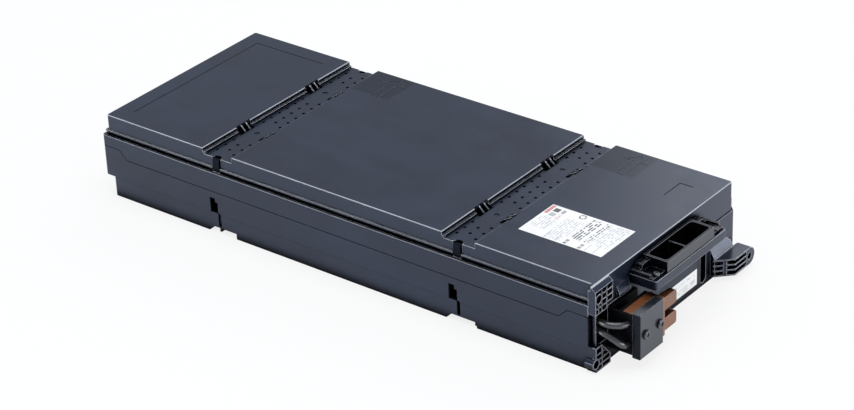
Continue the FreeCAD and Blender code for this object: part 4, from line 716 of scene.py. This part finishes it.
# %% Dress the two labels
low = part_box("top_label")[0]
top_film = printed_film(
    "white_vinyl_top", (1, low.y, 1), (0, low.x, 1),
    blocks=((12, 33, 3, 20, "8C9296", 0.50), (2, 40, 24, 43, "8C9296", 0.45),
            (13, 50, 45, 56, "3C4044", 0.95), (13, 50, 59, 66, "4A4E52", 0.9),
            (13, 51, 68, 85, "8C9296", 0.50), (33, 42, 15, 18, "C86A62", 0.8)),
    fields=((36.5, 52, 1.0, 4.6, "CF7A72", 0.85), (42.8, 49.0, 6.2, 12.2, "3C3E42", 0.9),
            (34.6, 40.6, 6.8, 12.8, "9AA0A0", 0.7), (43.2, 49.2, 14.6, 17.8, "707478", 0.7),
            (1.2, 4.6, 45.6, 48.9, "6E7276", 0.8), (5.8, 9.2, 45.6, 48.9, "6E7276", 0.8),
            (1.2, 4.6, 61.0, 64.3, "85898D", 0.8), (5.8, 9.2, 61.0, 64.3, "85898D", 0.8),
            (0.8, 10.5, 26.2, 26.9, "9A9EA2", 0.8), (0.8, 11.5, 37.3, 38.0, "9A9EA2", 0.8),
            (1.0, 13.0, 68.6, 69.2, "A4A8AC", 0.8), (1.0, 16.0, 77.0, 77.6, "A4A8AC", 0.8)),
    rings=((48.2, 35.2, 3.0, 1.1, "5A5E62"),))
dress(top_film, "top_label")

low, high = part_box("front_label")
front_film = printed_film(
    "white_vinyl_front", (1, low.y, 1), (2, high.z, -1),
    blocks=((3, 37, 2.2, 6.2, "7C8084", 0.45), (3, 26, 8.6, 12.8, "7C8084", 0.35)),
    fields=((29, 37, 8.8, 12.6, "B4B8BC", 0.5),))
dress(front_film, "front_label")

# %% [markdown]
# ## Direction arrows on the lid
# Two outline arrows stand a fraction of a millimetre proud of the lid and point to the far side.
# They could be bump in the lid's shader, but a raised line catches light on its real flanks, so
# they are modelled: a plane is the shaft, its far edge is extruded wide for the barbs and drawn
# in to the point, the whole face is inset to leave an outline, and Solidify gives the line its
# height. The second arrow is a copy with a mesh of its own, moved along the lid.

# %% Model one arrow and copy it
LID_TOP = lid_high.z
SHAFT_WIDTH, SHAFT_LENGTH = 0.0095, 0.028
HEAD_WIDTH, HEAD_LENGTH = 0.0270, 0.0125
LINE_WIDTH, LINE_HEIGHT = 0.0012, 0.00019
SHOULDER, POINT_SHARE = 0.0001, 0.02     # how steeply the barbs start, and what the point keeps
MIDDLE_X, FRONT_X, TIP_Y = -0.0917, 0.1900, 0.1045
arrow_abs = moulded("slate_abs_arrow", "181D28", "1F2534", "565C68", roughness=0.22, grain=0.0008,
                    specular=0.58, gloss_tint="D4E2FF")


def pick_edge(mesh, y):
    """Selects the edge that lies across the arrow at this y, and nothing else."""
    bpy.ops.mesh.select_all(action="DESELECT")
    bpy.ops.object.mode_set(mode="OBJECT")
    for edge in mesh.edges:
        edge.select = all(abs(mesh.vertices[v].co.y - y) < 1e-5 for v in edge.vertices)
    bpy.ops.object.mode_set(mode="EDIT")


def arrow(name, x, tip_y):
    """One raised outline arrow that points to +Y, with its tip at (x, tip_y)."""
    bpy.ops.object.select_all(action="DESELECT")
    neck_y = tip_y - HEAD_LENGTH
    bpy.ops.mesh.primitive_plane_add(size=1.0, location=(0, 0, 0))
    made = bpy.context.active_object
    made.name = name
    made.scale = (SHAFT_WIDTH, SHAFT_LENGTH, 1)
    made.location = (x, neck_y - SHAFT_LENGTH / 2, LID_TOP)
    bpy.ops.object.transform_apply(location=True, rotation=True, scale=True)
    bpy.ops.object.mode_set(mode="EDIT")
    bpy.ops.mesh.select_mode(type="EDGE")
    pick_edge(made.data, neck_y)
    bpy.ops.mesh.extrude_region_move(TRANSFORM_OT_translate={"value": (0, SHOULDER, 0)})
    bpy.ops.transform.resize(value=(HEAD_WIDTH / SHAFT_WIDTH, 1, 1),
                             center_override=(x, neck_y, LID_TOP))
    bpy.ops.mesh.extrude_region_move(TRANSFORM_OT_translate={"value": (0, HEAD_LENGTH, 0)})
    bpy.ops.transform.resize(value=(POINT_SHARE, 1, 1), center_override=(x, tip_y, LID_TOP))
    bpy.ops.mesh.select_all(action="SELECT")
    bpy.ops.mesh.inset(thickness=LINE_WIDTH, depth=0.0)
    bpy.ops.mesh.delete(type="FACE")
    bpy.ops.object.mode_set(mode="OBJECT")
    height = made.modifiers.new("height", "SOLIDIFY")
    height.thickness, height.offset = LINE_HEIGHT, 1.0
    bpy.ops.object.modifier_apply(modifier="height")
    made.data.materials.append(arrow_abs)
    return made


middle_arrow = arrow("arrow_middle", MIDDLE_X, TIP_Y)
front_arrow = middle_arrow.copy()
front_arrow.name, front_arrow.data = "arrow_front", middle_arrow.data.copy()
front_arrow.data.transform(Matrix.Translation((FRONT_X - MIDDLE_X, 0, 0)))
middle_arrow.users_collection[0].objects.link(front_arrow)
bpy.context.view_layer.update()
for made in (middle_arrow, front_arrow):
    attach(made, "root")
    print(made.name, [round(v * 1000, 1) for v in made.dimensions], "mm,",
          len(made.data.polygons), "faces")
